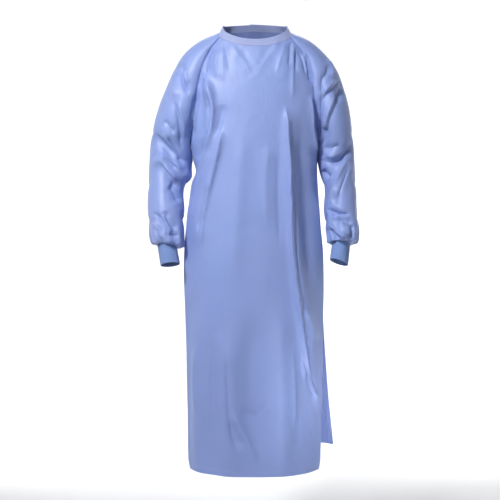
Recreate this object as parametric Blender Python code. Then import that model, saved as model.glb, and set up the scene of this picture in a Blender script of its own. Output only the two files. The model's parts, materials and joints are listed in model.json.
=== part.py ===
"""Surgical gown in its worn form: wrap-over back, raglan sleeves and rib-knit cuffs.

Metres, +Z up. The origin is level with the side neck points, where the wearer's shoulders carry
the gown. The front faces -Y and the wearer's left side is +X. Every piece of cloth is a thin wall
with its outer face on the worn form, and sewn pieces stand a hair apart along their seams.
"""
import math
from collections import namedtuple

import bpy
from mathutils import Vector

# Driving dimensions of the gown, in metres
CLOTH = 0.0015
RIB_KNIT = 0.0022
BINDING = 0.0021
FACING = 0.0011
SEAM_GAP = 0.0003
NECK_LAYER_STEP = 0.0052
BACK_LAYER_STEP = 0.0090
UNDERARM_Z = -0.355
FRONT_HEM_Z = -1.215
FLAP_HEM_Z = -1.170
BINDING_HEIGHT = 0.019
BINDING_LEAN = 0.009
BINDING_MIDDLE = (0.003, -0.008)
FACING_WIDTH = 0.031
FLAP_PANEL_WIDTH = 0.56
FASTENER = 0.0026

# Roundness of the body's sections and of the sleeves', of the neck's dip and of the flap's swing
SECTION_POWER = 2.3
TUBE_ROUNDNESS = 2.0
NECK_DIP_POWER = 1.3
FLARE_POWER = 3

# Where the back panels part, in degrees round the body: the outer one stands off it less and
# less past the first angle, and the inner one leaves the left seam and tucks in
OUTER_LAYER_START_DEG = 195.0
OUTER_LAYER_RUN_DEG = 75.0
INNER_LAYER_START_DEG = 184.0
INNER_LAYER_RUN_DEG = 26.0
LAYER_TOP_Z = -0.05
LAYER_GROWTH = 0.25
FLAP_LIFT_START = 0.4

# Corners of the walls: how far a mitre may reach, how far a face may turn before its edge is
# crisp, and how square a rim must stand to the cloth
MITRE_LIMIT = 0.5
SHARP_ANGLE_DEG = 50.0
SADDLE_LIMIT = 0.5

# How many cells each piece is divided into
YOKE_ROWS = 9
SKIRT_ROWS = 20
FRONT_COLUMNS = 26
OUTER_BACK_COLUMNS = 20
INNER_BACK_COLUMNS = 12
SLEEVE_COLUMNS = 24
CUFF_ROWS = 2
BINDING_ROWS = 1
FACING_COLUMNS = 2
FACING_FIRST_ROW = 11
FASTENER_COLUMNS = 2
FASTENER_FIRST_ROW = 1
FASTENER_LAST_ROW = 2

# How far down the sleeve, from the underarm to the cuff seam, each of its lower rows lies
SLEEVE_ROW_SHARES = [0.10, 0.20, 0.30, 0.40, 0.50, 0.60, 0.69, 0.77, 0.84, 0.90, 0.95, 0.98, 1.0]

# The worn body of the gown, one row for each height: x of its right and left sides as worn,
# y of its front and its back
Section = namedtuple("Section", "z right left front back")
BODY = [
    Section(-1.230, -0.179, 0.184, -0.159, 0.151),
    Section(-1.100, -0.181, 0.187, -0.156, 0.150),
    Section(-0.950, -0.184, 0.190, -0.152, 0.148),
    Section(-0.800, -0.189, 0.192, -0.149, 0.146),
    Section(-0.626, -0.194, 0.194, -0.145, 0.140),
    Section(-0.539, -0.188, 0.187, -0.142, 0.132),
    Section(-0.479, -0.183, 0.183, -0.140, 0.126),
    Section(-0.355, -0.172, 0.178, -0.136, 0.122),
    Section(-0.290, -0.186, 0.190, -0.134, 0.124),
    Section(-0.240, -0.194, 0.199, -0.131, 0.124),
    Section(-0.172, -0.197, 0.204, -0.125, 0.120),
    Section(-0.104, -0.183, 0.192, -0.113, 0.108),
    Section(-0.054, -0.158, 0.166, -0.098, 0.092),
    Section(-0.030, -0.141, 0.148, -0.088, 0.081),
    Section(-0.008, -0.122, 0.129, -0.075, 0.068),
    Section(0.014, -0.104, 0.110, -0.060, 0.054),
]

# The raglan seam, from the underarm (share 0) to the neck (share 1): how far round from the side
# it lies, in degrees, on the front and on the back
Raglan = namedtuple("Raglan", "share front_deg back_deg")
RAGLAN = [
    Raglan(0.00, 0.0, 0.0),
    Raglan(0.12, 14.0, 13.0),
    Raglan(0.25, 27.0, 24.0),
    Raglan(0.40, 36.0, 31.0),
    Raglan(0.60, 40.0, 34.0),
    Raglan(0.80, 41.0, 37.0),
    Raglan(0.92, 43.0, 41.0),
    Raglan(1.00, 46.0, 45.0),
]
NECK_FRONT_SEAM_Z = -0.020
NECK_BACK_SEAM_Z = 0.010
NECK_FRONT_Z = -0.046
NECK_BACK_Z = 0.014

# The top line of each sleeve's cap over the shoulder, from the underarm section (share 0) to
# the neck (share 1), with how far the cap rounds out to front and back
Cap = namedtuple("Cap", "share x z y bulge roundness")
CAP_RIGHT = [
    Cap(0.00, -0.293, -0.335, 0.002, 0.068, 2.0),
    Cap(0.10, -0.289, -0.287, 0.003, 0.054, 1.35),
    Cap(0.30, -0.269, -0.209, 0.005, 0.034, 1.2),
    Cap(0.45, -0.249, -0.157, 0.006, 0.024, 1.15),
    Cap(0.60, -0.225, -0.103, 0.006, 0.016, 1.15),
    Cap(0.75, -0.194, -0.055, 0.004, 0.010, 1.1),
    Cap(0.88, -0.149, -0.020, 0.001, 0.005, 1.05),
    Cap(1.00, -0.094, 0.003, -0.002, 0.000, 1.0),
]
CAP_LEFT = [
    Cap(0.00, 0.282, -0.335, 0.002, 0.068, 2.0),
    Cap(0.10, 0.279, -0.288, 0.003, 0.054, 1.35),
    Cap(0.30, 0.268, -0.211, 0.005, 0.034, 1.2),
    Cap(0.45, 0.255, -0.160, 0.006, 0.024, 1.15),
    Cap(0.60, 0.235, -0.106, 0.006, 0.016, 1.15),
    Cap(0.75, 0.202, -0.060, 0.004, 0.010, 1.1),
    Cap(0.88, 0.156, -0.021, 0.001, 0.005, 1.05),
    Cap(1.00, 0.100, 0.003, -0.002, 0.000, 1.0),
]

# Each sleeve below the underarm (share 0) down to its cuff seam (share 1): its inner and outer
# lines as seen from the front, the depth of its middle, its half depth and its forward tilt
Tube = namedtuple("Tube", "share in_x in_z out_x out_z y half_depth tilt")
TUBE_RIGHT = [
    Tube(0.00, -0.172, -0.355, -0.293, -0.335, 0.002, 0.068, 0.00),
    Tube(0.18, -0.182, -0.398, -0.295, -0.388, -0.008, 0.066, 0.03),
    Tube(0.36, -0.196, -0.443, -0.297, -0.442, -0.021, 0.064, 0.08),
    Tube(0.54, -0.193, -0.494, -0.296, -0.494, -0.040, 0.061, 0.14),
    Tube(0.70, -0.194, -0.538, -0.292, -0.538, -0.056, 0.057, 0.18),
    Tube(0.82, -0.195, -0.570, -0.287, -0.566, -0.066, 0.054, 0.20),
    Tube(0.91, -0.194, -0.593, -0.281, -0.585, -0.072, 0.049, 0.21),
    Tube(1.00, -0.2115, -0.597, -0.267, -0.589, -0.075, 0.034, 0.22),
]
TUBE_LEFT = [
    Tube(0.00, 0.178, -0.355, 0.282, -0.335, 0.002, 0.068, 0.00),
    Tube(0.18, 0.187, -0.398, 0.284, -0.388, -0.008, 0.066, 0.03),
    Tube(0.36, 0.197, -0.443, 0.287, -0.442, -0.021, 0.064, 0.08),
    Tube(0.54, 0.194, -0.491, 0.286, -0.488, -0.040, 0.061, 0.14),
    Tube(0.70, 0.197, -0.533, 0.290, -0.528, -0.056, 0.058, 0.18),
    Tube(0.82, 0.203, -0.562, 0.289, -0.560, -0.066, 0.056, 0.20),
    Tube(0.91, 0.205, -0.583, 0.284, -0.583, -0.072, 0.050, 0.21),
    Tube(1.00, 0.2155, -0.580, 0.2655, -0.589, -0.075, 0.034, 0.22),
]

# The far end of each rib-knit cuff, in the same terms
CUFF_RIGHT_END = Tube(1.00, -0.203, -0.640, -0.257, -0.646, -0.088, 0.033, 0.24)
CUFF_LEFT_END = Tube(1.00, 0.2075, -0.628, 0.2585, -0.645, -0.088, 0.033, 0.24)

# Gathers of the sleeve above its cuff: waves round the sleeve, their height, the share of the
# sleeve's length where they start, and how uneven they are
GATHER_WAVES = 8
GATHER_HEIGHT = 0.0034
GATHER_START = 0.62
GATHER_FADE_IN = 0.22
GATHER_FADE_OUT = 0.06
GATHER_DRIFT = 1.1
GATHER_PHASE = 0.7

# The flap, the free side of the outer back panel: how far it swings out past the left side
Flare = namedtuple("Flare", "z out")
FLARE = [
    Flare(-1.230, 0.054),
    Flare(-1.166, 0.049),
    Flare(-1.032, 0.030),
    Flare(-0.909, 0.017),
    Flare(-0.809, 0.009),
    Flare(-0.600, 0.002),
    Flare(-0.450, 0.000),
    Flare(0.020, 0.000),
]

# Where the free edge of each back panel runs, in degrees round the body from its right side,
# by height. The middle of the back is at 270
FreeEdge = namedtuple("FreeEdge", "z outer_deg inner_deg")
FREE_EDGE = [
    FreeEdge(-1.230, 198.0, 302.0),
    FreeEdge(-0.800, 198.0, 302.0),
    FreeEdge(-0.480, 199.0, 300.0),
    FreeEdge(-0.400, 203.0, 297.0),
    FreeEdge(-0.300, 216.0, 292.0),
    FreeEdge(-0.200, 232.0, 287.0),
    FreeEdge(-0.100, 248.0, 282.0),
    FreeEdge(-0.030, 258.0, 278.0),
    FreeEdge(0.020, 263.0, 277.0),
]

# The largest folds: the line of each one as seen from the front, its half width, its height,
# above the cloth or below it, and how far it leans, which makes one flank the steeper.
# A fold fades out over a share of its length at each end, and where the cloth turns to the side
FOLD_END_FADE = 0.25
FOLD_FACING = 0.55
Fold = namedtuple("Fold", "facing path width height lean")
FOLDS = [
    Fold("front", [(0.083, -0.20), (0.091, -0.37), (0.105, -0.54), (0.117, -0.70),
                   (0.146, -0.89), (0.155, -1.02)], 0.021, 0.016, -0.35),
    Fold("front", [(0.128, -0.22), (0.132, -0.40), (0.143, -0.58), (0.156, -0.74)],
         0.022, -0.012, 0.0),
    Fold("front", [(-0.030, -0.25), (-0.042, -0.43), (-0.051, -0.58), (-0.054, -0.72)],
         0.024, 0.006, 0.0),
    Fold("front", [(-0.130, -0.12), (-0.118, -0.22), (-0.122, -0.34)], 0.014, 0.009, 0.0),
    Fold("front", [(-0.146, -0.10), (-0.143, -0.20), (-0.147, -0.30)], 0.011, -0.006, 0.0),
    Fold("front", [(-0.088, -0.27), (-0.122, -0.41), (-0.148, -0.52), (-0.151, -0.62)],
         0.016, 0.010, 0.3),
    Fold("front", [(-0.004, -0.76), (-0.010, -0.98), (0.012, -1.19)], 0.032, -0.009, 0.0),
    Fold("front", [(-0.070, -0.80), (-0.072, -1.06), (-0.060, -1.26)], 0.028, 0.011, 0.0),
    Fold("front", [(0.066, -0.74), (0.078, -1.00), (0.084, -1.26)], 0.026, 0.010, 0.0),
    Fold("front", [(-0.146, -0.74), (-0.152, -1.00), (-0.154, -1.26)], 0.020, 0.009, 0.0),
    Fold("front", [(-0.112, -0.80), (-0.114, -1.05), (-0.108, -1.26)], 0.018, -0.007, 0.0),
    Fold("front", [(-0.048, -0.060), (0.006, -0.120)], 0.016, -0.007, 0.0),
    Fold("front", [(0.062, -0.060), (0.022, -0.120)], 0.016, -0.007, 0.0),
    Fold("front", [(0.096, -0.050), (0.082, -0.130)], 0.011, 0.006, 0.0),
    Fold("back", [(-0.078, -0.14), (-0.086, -0.50), (-0.094, -0.90), (-0.098, -1.28)],
         0.036, 0.014, 0.0),
    Fold("back", [(-0.024, -0.34), (-0.030, -0.80), (-0.032, -1.28)], 0.034, -0.010, 0.0),
    Fold("back", [(0.040, -0.20), (0.036, -0.55), (0.040, -0.90), (0.042, -1.28)],
         0.036, 0.012, 0.0),
    Fold("back", [(0.110, -0.30), (0.116, -0.60), (0.122, -0.90), (0.126, -1.28)],
         0.032, -0.009, 0.0),
    Fold("front", [(-0.232, -0.060), (-0.226, -0.085), (-0.208, -0.108)], 0.012, -0.008, 0.0),
    Fold("front", [(-0.285, -0.285), (-0.240, -0.335), (-0.206, -0.395)], 0.013, -0.009, 0.0),
    Fold("front", [(-0.280, -0.345), (-0.232, -0.390), (-0.208, -0.420)], 0.012, 0.008, 0.0),
    Fold("front", [(-0.290, -0.520), (-0.250, -0.560)], 0.011, -0.006, 0.0),
    Fold("front", [(0.268, -0.120), (0.222, -0.200)], 0.012, -0.008, 0.0),
    Fold("front", [(0.276, -0.300), (0.215, -0.370)], 0.013, -0.009, 0.0),
    Fold("front", [(0.270, -0.360), (0.222, -0.470)], 0.012, 0.008, 0.0),
    Fold("front", [(0.206, -0.495), (0.262, -0.520)], 0.010, -0.006, 0.0),
    Fold("back", [(-0.280, -0.310), (-0.214, -0.375)], 0.013, -0.009, 0.0),
    Fold("back", [(-0.286, -0.480), (-0.222, -0.440)], 0.013, 0.008, 0.0),
    Fold("back", [(0.272, -0.310), (0.208, -0.375)], 0.013, -0.009, 0.0),
    Fold("back", [(0.276, -0.480), (0.216, -0.440)], 0.013, 0.008, 0.0),
]

# Finish of each kind of cloth: colour, roughness
GOWN_COLOUR = (0.235, 0.325, 0.640, 1.0)
RIB_COLOUR = (0.215, 0.310, 0.590, 1.0)
BINDING_COLOUR = (0.340, 0.400, 0.690, 1.0)
CLOTH_ROUGHNESS = 0.62


def clear_scene():
    for thing in list(bpy.data.objects):
        bpy.data.objects.remove(thing, do_unlink=True)


def smooth_step(value):
    value = min(max(value, 0.0), 1.0)
    return value * value * (3.0 - 2.0 * value)


def mix(low, high, share):
    return low + (high - low) * share


def read_table(rows, at):
    """Read a table whose first column rises, on a smooth curve through its rows."""
    last = len(rows) - 1
    at = min(max(at, rows[0][0]), rows[last][0])
    index = 0
    while index < last - 1 and at > rows[index + 1][0]:
        index += 1
    low, high = rows[index], rows[index + 1]
    step = high[0] - low[0]
    t = (at - low[0]) / step
    before = rows[max(index - 1, 0)]
    after = rows[min(index + 2, last)]
    values = [at]
    for column in range(1, len(low)):
        slope_low = (high[column] - before[column]) / (high[0] - before[0]) * step
        slope_high = (after[column] - low[column]) / (after[0] - low[0]) * step
        values.append(
            (2 * t ** 3 - 3 * t ** 2 + 1) * low[column]
            + (t ** 3 - 2 * t ** 2 + t) * slope_low
            + (3 * t ** 2 - 2 * t ** 3) * high[column]
            + (t ** 3 - t ** 2) * slope_high
        )
    return type(low)(*values)


def body_point(turn_deg, z, swell=0.0, flare=0.0):
    """A point of the worn body. 0 degrees is its right side, 90 the front, 180 the left."""
    section = read_table(BODY, z)
    turn = math.radians(turn_deg)
    middle = (section.right + section.left) / 2
    half_width = (section.left - section.right) / 2 + swell
    depth = (section.back if turn_deg > 180.0 else -section.front) + swell
    across = math.copysign(abs(math.cos(turn)) ** (2 / SECTION_POWER), math.cos(turn))
    along = math.copysign(abs(math.sin(turn)) ** (2 / SECTION_POWER), math.sin(turn))
    swing = flare * max(-across, 0.0) ** FLARE_POWER
    return Vector((middle - half_width * across + swing, -depth * along, z))


def seam_turns(share):
    row = read_table(RAGLAN, share)
    return row.front_deg, row.back_deg


def front_panel_point(across, row):
    """Front panel: across runs from 0 at the right seam to 1 at the left seam."""
    if row > YOKE_ROWS:
        return body_point(180.0 * across, skirt_height(row, FRONT_HEM_Z))
    front_deg, _ = seam_turns(yoke_share(row))
    turn = mix(front_deg, 180.0 - front_deg, across)
    dip = math.sin(math.pi * across) ** NECK_DIP_POWER
    top = mix(NECK_FRONT_SEAM_Z, NECK_FRONT_Z, dip)
    return body_point(turn, mix(UNDERARM_Z, top, yoke_share(row)))


def layer_step(z):
    """How far apart the two back panels lie where both turn round the back."""
    growth = smooth_step((LAYER_TOP_Z - z) / LAYER_GROWTH)
    return mix(NECK_LAYER_STEP, BACK_LAYER_STEP, growth)


def outer_back_layer(turn_deg, z):
    """How far the outer back panel stands off the body, more towards its free edge."""
    past_start = (turn_deg - OUTER_LAYER_START_DEG) / OUTER_LAYER_RUN_DEG
    return layer_step(z) * (1.0 - smooth_step(past_start))


def inner_back_layer(turn_deg, z):
    """How far the inner back panel lies in from the body, after it leaves the left seam."""
    return -layer_step(z) * smooth_step((turn_deg - INNER_LAYER_START_DEG) / INNER_LAYER_RUN_DEG)


def yoke_share(row):
    """1 on the neck edge, 0 at the underarm and below it."""
    return max(1.0 - row / YOKE_ROWS, 0.0)


def skirt_height(row, hem_z):
    return mix(UNDERARM_Z, hem_z, (row - YOKE_ROWS) / SKIRT_ROWS)


def back_neck_height(share, from_seam):
    top = mix(NECK_BACK_SEAM_Z, NECK_BACK_Z, smooth_step(from_seam))
    return mix(UNDERARM_Z, top, share)


def outer_back_point(across, row):
    """Outer back panel: across runs from 0 at its free edge to 1 at the right seam."""
    from_seam = 1.0 - across
    if row < YOKE_ROWS:
        z = back_neck_height(yoke_share(row), from_seam)
    else:
        lift = smooth_step((from_seam - FLAP_LIFT_START) / (1.0 - FLAP_LIFT_START))
        z = skirt_height(row, mix(FRONT_HEM_Z, FLAP_HEM_Z, lift))
    _, back_deg = seam_turns(yoke_share(row))
    edge = read_table(FREE_EDGE, z)
    turn = mix(edge.outer_deg, 360.0 - back_deg, across)
    flare = read_table(FLARE, z).out
    return body_point(turn, z, outer_back_layer(turn, z), flare)


def inner_back_point(across, row):
    """Inner back panel: across runs from 0 at the left seam to 1 at its free edge."""
    if row < YOKE_ROWS:
        z = back_neck_height(yoke_share(row), across)
    else:
        z = skirt_height(row, FRONT_HEM_Z)
    _, back_deg = seam_turns(yoke_share(row))
    edge = read_table(FREE_EDGE, z)
    turn = mix(180.0 + back_deg, edge.inner_deg, across)
    return body_point(turn, z, inner_back_layer(turn, z))


def sleeve_seam_points(share, side):
    """Front and back ends of a sleeve's row, on the raglan seams. side is -1 right, 1 left."""
    front_deg, back_deg = seam_turns(share)
    front_z = mix(UNDERARM_Z, NECK_FRONT_SEAM_Z, share)
    back_z = mix(UNDERARM_Z, NECK_BACK_SEAM_Z, share)
    if side < 0:
        front_turn, back_turn = front_deg, 360.0 - back_deg
        layer = outer_back_layer(back_turn, back_z)
    else:
        front_turn, back_turn = 180.0 - front_deg, 180.0 + back_deg
        layer = inner_back_layer(back_turn, back_z)
    return body_point(front_turn, front_z), body_point(back_turn, back_z, layer)


def ring_point(start, top, finish, bulge, roundness, around):
    """A sleeve section from its front end over its top line to its back end."""
    turn = 2 * math.pi * around
    end = start if around <= 0.5 else finish
    out = abs(math.sin(turn / 2)) ** roundness
    over = 1.0 - abs(math.cos(turn / 2)) ** roundness
    return Vector((
        mix(end.x, top.x, out),
        mix(end.y, top.y, over) - bulge * math.sin(turn),
        mix(end.z, top.z, out),
    ))


def cap_point(table, side, share, around):
    row = read_table(table, share)
    start, finish = sleeve_seam_points(share, side)
    top = Vector((row.x, row.y, row.z))
    return ring_point(start, top, finish, row.bulge, row.roundness, around)


def tube_point(row, around):
    """A closed section of a sleeve or cuff, tilted so that its front stands higher."""
    inner = Vector((row.in_x, row.y, row.in_z))
    outer = Vector((row.out_x, row.y, row.out_z))
    point = ring_point(inner, outer, inner, row.half_depth, TUBE_ROUNDNESS, around)
    point.z -= row.tilt * (point.y - row.y)
    return point


def gathered(point, row, share, around):
    """Push a sleeve point in or out where the sleeve is gathered into its cuff."""
    strength = smooth_step((share - GATHER_START) / GATHER_FADE_IN)
    strength *= smooth_step((1.0 - share) / GATHER_FADE_OUT)
    turn = 2 * math.pi * around
    wave = math.cos(GATHER_WAVES * turn + GATHER_DRIFT * math.sin(turn + GATHER_PHASE))
    middle = Vector(((row.in_x + row.out_x) / 2, row.y, point.z))
    away = (point - middle).normalized()
    return point + away * (GATHER_HEIGHT * strength * wave)


class Piece:
    """One piece of cloth: outer points, faces that look out, wall thickness and finish."""

    def __init__(self, name, thickness, material, proud=0.0):
        self.name = name
        self.thickness = thickness
        self.material = material
        self.proud = proud
        self.points = []
        self.faces = []
        self.normals = []

    def add_grid(self, rows, outward_down_right):
        """Join rows of points into faces. A point that is already there is used again."""
        index_of = {}
        grid = []
        for row in rows:
            line = []
            for point in row:
                key = tuple(round(value, 7) for value in point)
                if key not in index_of:
                    index_of[key] = len(self.points)
                    self.points.append(point.copy())
                line.append(index_of[key])
            grid.append(line)
        for upper, lower in zip(grid, grid[1:]):
            for i in range(len(upper) - 1):
                for face in ([upper[i], lower[i], lower[i + 1]],
                             [upper[i], lower[i + 1], upper[i + 1]]):
                    if not outward_down_right:
                        face.reverse()
                    if len(set(face)) == 3:
                        self.faces.append(face)

    def rim(self):
        """Edges with one face only, as the face runs, each with its face's outward direction."""
        used = {}
        for face in self.faces:
            a, b, c = (self.points[i] for i in face)
            outward = (b - a).cross(c - a).normalized()
            for edge in zip(face, face[1:] + face[:1]):
                used[edge] = outward
        return {edge: out for edge, out in used.items() if edge[::-1] not in used}

    def rim_pulls(self):
        """The way in from the rim at each rim point, square to each of its two rim edges."""
        pulls = {}
        for (a, b), outward in self.rim().items():
            run = (self.points[b] - self.points[a]).normalized()
            for i in (a, b):
                inward = self.normals[i].cross(run)
                if inward.length < SADDLE_LIMIT:
                    inward = outward.cross(run)
                pulls.setdefault(i, []).append(inward.normalized())
        return pulls


def share_normals(pieces):
    """Give points that lie on one seam the same outward direction in both pieces."""
    totals = {}
    for piece in pieces:
        for face in piece.faces:
            corners = [piece.points[i] for i in face]
            for i, corner in enumerate(corners):
                towards = corners[(i + 1) % len(corners)] - corner
                back = corners[i - 1] - corner
                key = tuple(round(value, 6) for value in corner)
                weight = towards.angle(back, 0.0)
                turned = towards.cross(back).normalized() * weight
                totals[key] = totals.get(key, Vector()) + turned
    for piece in pieces:
        piece.normals = [
            totals[tuple(round(value, 6) for value in point)].normalized()
            for point in piece.points
        ]


def fold_height(point, normal):
    """Height of the folds at a point, from the folds that its side of the gown carries."""
    total = 0.0
    for fold in FOLDS:
        facing = -normal.y if fold.facing == "front" else normal.y
        weight = smooth_step(facing / FOLD_FACING)
        if weight > 0.0:
            total += weight * fold.height * fold_profile(point.x, point.z, fold)
    return total


def fold_profile(x, z, fold):
    """1 on the line of a fold, fading to 0 past its width and past its ends."""
    nearest, side, reach = 1e9, 0.0, 0.0
    lengths = [math.dist(a, b) for a, b in zip(fold.path, fold.path[1:])]
    run = 0.0
    for (x0, z0), (x1, z1), length in zip(fold.path, fold.path[1:], lengths):
        dx, dz = (x1 - x0) / length, (z1 - z0) / length
        along = (x - x0) * dx + (z - z0) * dz
        held = min(max(along, 0.0), length)
        gap = math.hypot(x - x0 - held * dx, z - z0 - held * dz)
        if gap < nearest:
            nearest = gap
            side = math.copysign(1.0, (x - x0) * dz - (z - z0) * dx)
            reach = run + held
        run += length
    fade = FOLD_END_FADE * run
    ends = smooth_step(reach / fade) * smooth_step((run - reach) / fade)
    width = fold.width * (1.0 + fold.lean * side)
    return ends * math.exp(-(nearest / width) ** 2)


def raise_folds(pieces):
    share_normals(pieces)
    for piece in pieces:
        for point, normal in zip(piece.points, piece.normals):
            point += normal * fold_height(point, normal)
    share_normals(pieces)


def make_wall(piece):
    """Turn a piece into one closed wall: outer face, inner face and the rim between them.

    The rim's faces are split from the same corner in both pieces of a seam, so that they match.
    """
    pulls = piece.rim_pulls()
    outer, inner = [], []
    for i, (point, normal) in enumerate(zip(piece.points, piece.normals)):
        place = point.copy()
        if i in pulls:
            first, second = pulls[i]
            mitre = (first + second) / max(1.0 + first.dot(second), MITRE_LIMIT)
            place += mitre * (SEAM_GAP / 2)
        outer.append(place + normal * piece.proud)
        inner.append(place + normal * (piece.proud - piece.thickness))
    count = len(outer)
    faces = [list(face) for face in piece.faces]
    faces += [[i + count for i in reversed(face)] for face in piece.faces]
    for a, b in piece.rim():
        if tuple(piece.points[a]) < tuple(piece.points[b]):
            faces += [[b, a, a + count], [b, a + count, b + count]]
        else:
            faces += [[b, a, b + count], [a, a + count, b + count]]
    mesh = bpy.data.meshes.new(piece.name)
    mesh.from_pydata([tuple(v) for v in outer + inner], [], faces)
    mesh.materials.append(piece.material)
    mesh.shade_smooth()
    mesh.set_sharp_from_angle(angle=math.radians(SHARP_ANGLE_DEG))
    thing = bpy.data.objects.new(piece.name, mesh)
    bpy.context.scene.collection.objects.link(thing)
    return thing


def cloth_material(name, colour):
    material = bpy.data.materials.new(name)
    material.use_nodes = True
    shader = material.node_tree.nodes["Principled BSDF"]
    shader.inputs["Base Color"].default_value = colour
    shader.inputs["Roughness"].default_value = CLOTH_ROUGHNESS
    shader.inputs["Metallic"].default_value = 0.0
    return material


def panel_rows(point_of, shares):
    return [[point_of(share, row) for share in shares]
            for row in range(YOKE_ROWS + SKIRT_ROWS + 1)]


def even_shares(count):
    return [i / count for i in range(count + 1)]


def outer_back_shares():
    """Two narrow columns carry the flap's facing, and the rest are even."""
    first = FACING_WIDTH / FACING_COLUMNS / FLAP_PANEL_WIDTH
    rest = OUTER_BACK_COLUMNS - FACING_COLUMNS
    facing_end = FACING_COLUMNS * first
    return [0.0, first] + [mix(facing_end, 1.0, i / rest) for i in range(rest + 1)]


def make_front_panel(material):
    piece = Piece("front_panel", CLOTH, material)
    piece.add_grid(panel_rows(front_panel_point, even_shares(FRONT_COLUMNS)), True)
    return piece


def make_outer_back(material):
    piece = Piece("back_panel_outer", CLOTH, material)
    piece.add_grid(panel_rows(outer_back_point, outer_back_shares()), True)
    return piece


def make_inner_back(material):
    piece = Piece("back_panel_inner", CLOTH, material)
    piece.add_grid(panel_rows(inner_back_point, even_shares(INNER_BACK_COLUMNS)), True)
    return piece


def sleeve_rows(cap_table, tube_table, side):
    arounds = even_shares(SLEEVE_COLUMNS)
    rows = []
    for row in range(YOKE_ROWS + 1):
        share = 1.0 - row / YOKE_ROWS
        rows.append([cap_point(cap_table, side, share, around) for around in arounds])
    for share in SLEEVE_ROW_SHARES:
        section = read_table(tube_table, share)
        rows.append([gathered(tube_point(section, around), section, share, around)
                     for around in arounds])
    return rows


def close_rings(rows, first_closed):
    """End each closed ring on the very point where it starts."""
    for row in rows[first_closed:]:
        row[-1] = row[0].copy()


def make_sleeve(name, material, cap_table, tube_table, side):
    piece = Piece(name, CLOTH, material)
    rows = sleeve_rows(cap_table, tube_table, side)
    close_rings(rows, YOKE_ROWS)
    piece.add_grid(rows, side > 0)
    return piece


def make_cuff(name, material, tube_table, end, side):
    piece = Piece(name, RIB_KNIT, material)
    top = tube_table[-1]
    rows = []
    for row in range(CUFF_ROWS + 1):
        share = row / CUFF_ROWS
        section = Tube(*(mix(a, b, share) for a, b in zip(top, end)))
        rows.append([tube_point(section, around) for around in even_shares(SLEEVE_COLUMNS)])
    close_rings(rows, 0)
    piece.add_grid(rows, side > 0)
    return piece


def neckline():
    """The neck edge of all pieces in order, from the inner back end round to the outer end."""
    back_left = [inner_back_point(share, 0) for share in even_shares(INNER_BACK_COLUMNS)]
    left = [cap_point(CAP_LEFT, 1, 1.0, around) for around in even_shares(SLEEVE_COLUMNS)]
    front = [front_panel_point(share, 0) for share in even_shares(FRONT_COLUMNS)]
    right = [cap_point(CAP_RIGHT, -1, 1.0, around) for around in even_shares(SLEEVE_COLUMNS)]
    back_right = [outer_back_point(share, 0) for share in outer_back_shares()]
    line = back_left[::-1] + left[::-1][1:] + front[::-1][1:] + right[1:]
    return line + back_right[::-1][1:]


def make_binding(material):
    """The band round the neck stands up from the neck edge and leans in a little."""
    piece = Piece("neck_binding", BINDING, material, proud=BINDING - CLOTH)
    line = neckline()
    middle = Vector((*BINDING_MIDDLE, 0.0))
    rows = []
    for row in range(BINDING_ROWS, -1, -1):
        share = row / BINDING_ROWS
        raised = []
        for point in line:
            inward = middle - point
            inward.z = 0.0
            lean = inward.normalized() * BINDING_LEAN
            raised.append(point + (lean + Vector((0.0, 0.0, BINDING_HEIGHT))) * share)
        rows.append(raised)
    piece.add_grid(rows, False)
    return piece


def lay_on(name, thickness, material, proud, panel, columns, rows, across):
    """A piece laid on a panel: the panel's own points in some rows and columns, moved out."""
    piece = Piece(name, thickness, material, proud)
    for row in rows:
        for column in across:
            piece.points.append(panel.points[row * columns + column].copy())
            piece.normals.append(panel.normals[row * columns + column].copy())
    width = len(across)
    for row in range(len(rows) - 1):
        for column in range(width - 1):
            a = row * width + column
            piece.faces.append([a, a + width, a + width + 1])
            piece.faces.append([a, a + width + 1, a + 1])
    return piece


def make_facing(material, panel):
    """The strip along the flap's free edge, on the inner side of the outer back panel."""
    rows = range(FACING_FIRST_ROW, YOKE_ROWS + SKIRT_ROWS + 1)
    return lay_on("flap_facing", FACING, material, -(CLOTH + SEAM_GAP), panel,
                  OUTER_BACK_COLUMNS + 1, rows, range(FACING_COLUMNS + 1))


def make_neck_fastener(material, panel):
    """The touch fastener between the two back panels, at the top of the inner one's edge."""
    across = range(INNER_BACK_COLUMNS - FASTENER_COLUMNS, INNER_BACK_COLUMNS + 1)
    rows = range(FASTENER_FIRST_ROW, FASTENER_LAST_ROW + 1)
    return lay_on("neck_fastener", FASTENER, material, SEAM_GAP + FASTENER, panel,
                  INNER_BACK_COLUMNS + 1, rows, across)


def build_gown():
    clear_scene()
    gown = cloth_material("gown_cloth", GOWN_COLOUR)
    rib = cloth_material("rib_knit", RIB_COLOUR)
    band = cloth_material("binding_cloth", BINDING_COLOUR)
    outer_back = make_outer_back(gown)
    inner_back = make_inner_back(gown)
    sewn = [
        make_front_panel(gown),
        outer_back,
        inner_back,
        make_sleeve("sleeve_right", gown, CAP_RIGHT, TUBE_RIGHT, -1),
        make_sleeve("sleeve_left", gown, CAP_LEFT, TUBE_LEFT, 1),
        make_cuff("cuff_right", rib, TUBE_RIGHT, CUFF_RIGHT_END, -1),
        make_cuff("cuff_left", rib, TUBE_LEFT, CUFF_LEFT_END, 1),
        make_binding(band),
    ]
    raise_folds(sewn)
    for piece in sewn:
        make_wall(piece)
    make_wall(make_facing(gown, outer_back))
    make_wall(make_neck_fastener(band, inner_back))


build_gown()
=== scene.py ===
"""The worn surgical gown, dressed: cloth, knit cuffs, neck binding, seams and stitching.

Metres, +Z up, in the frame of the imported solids. The front faces -Y and the wearer's left side
is +X. Each piece of cloth is a thin shell on the form of its solid, with the creases it wears.
"""

import json
import math
from collections import namedtuple

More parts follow.
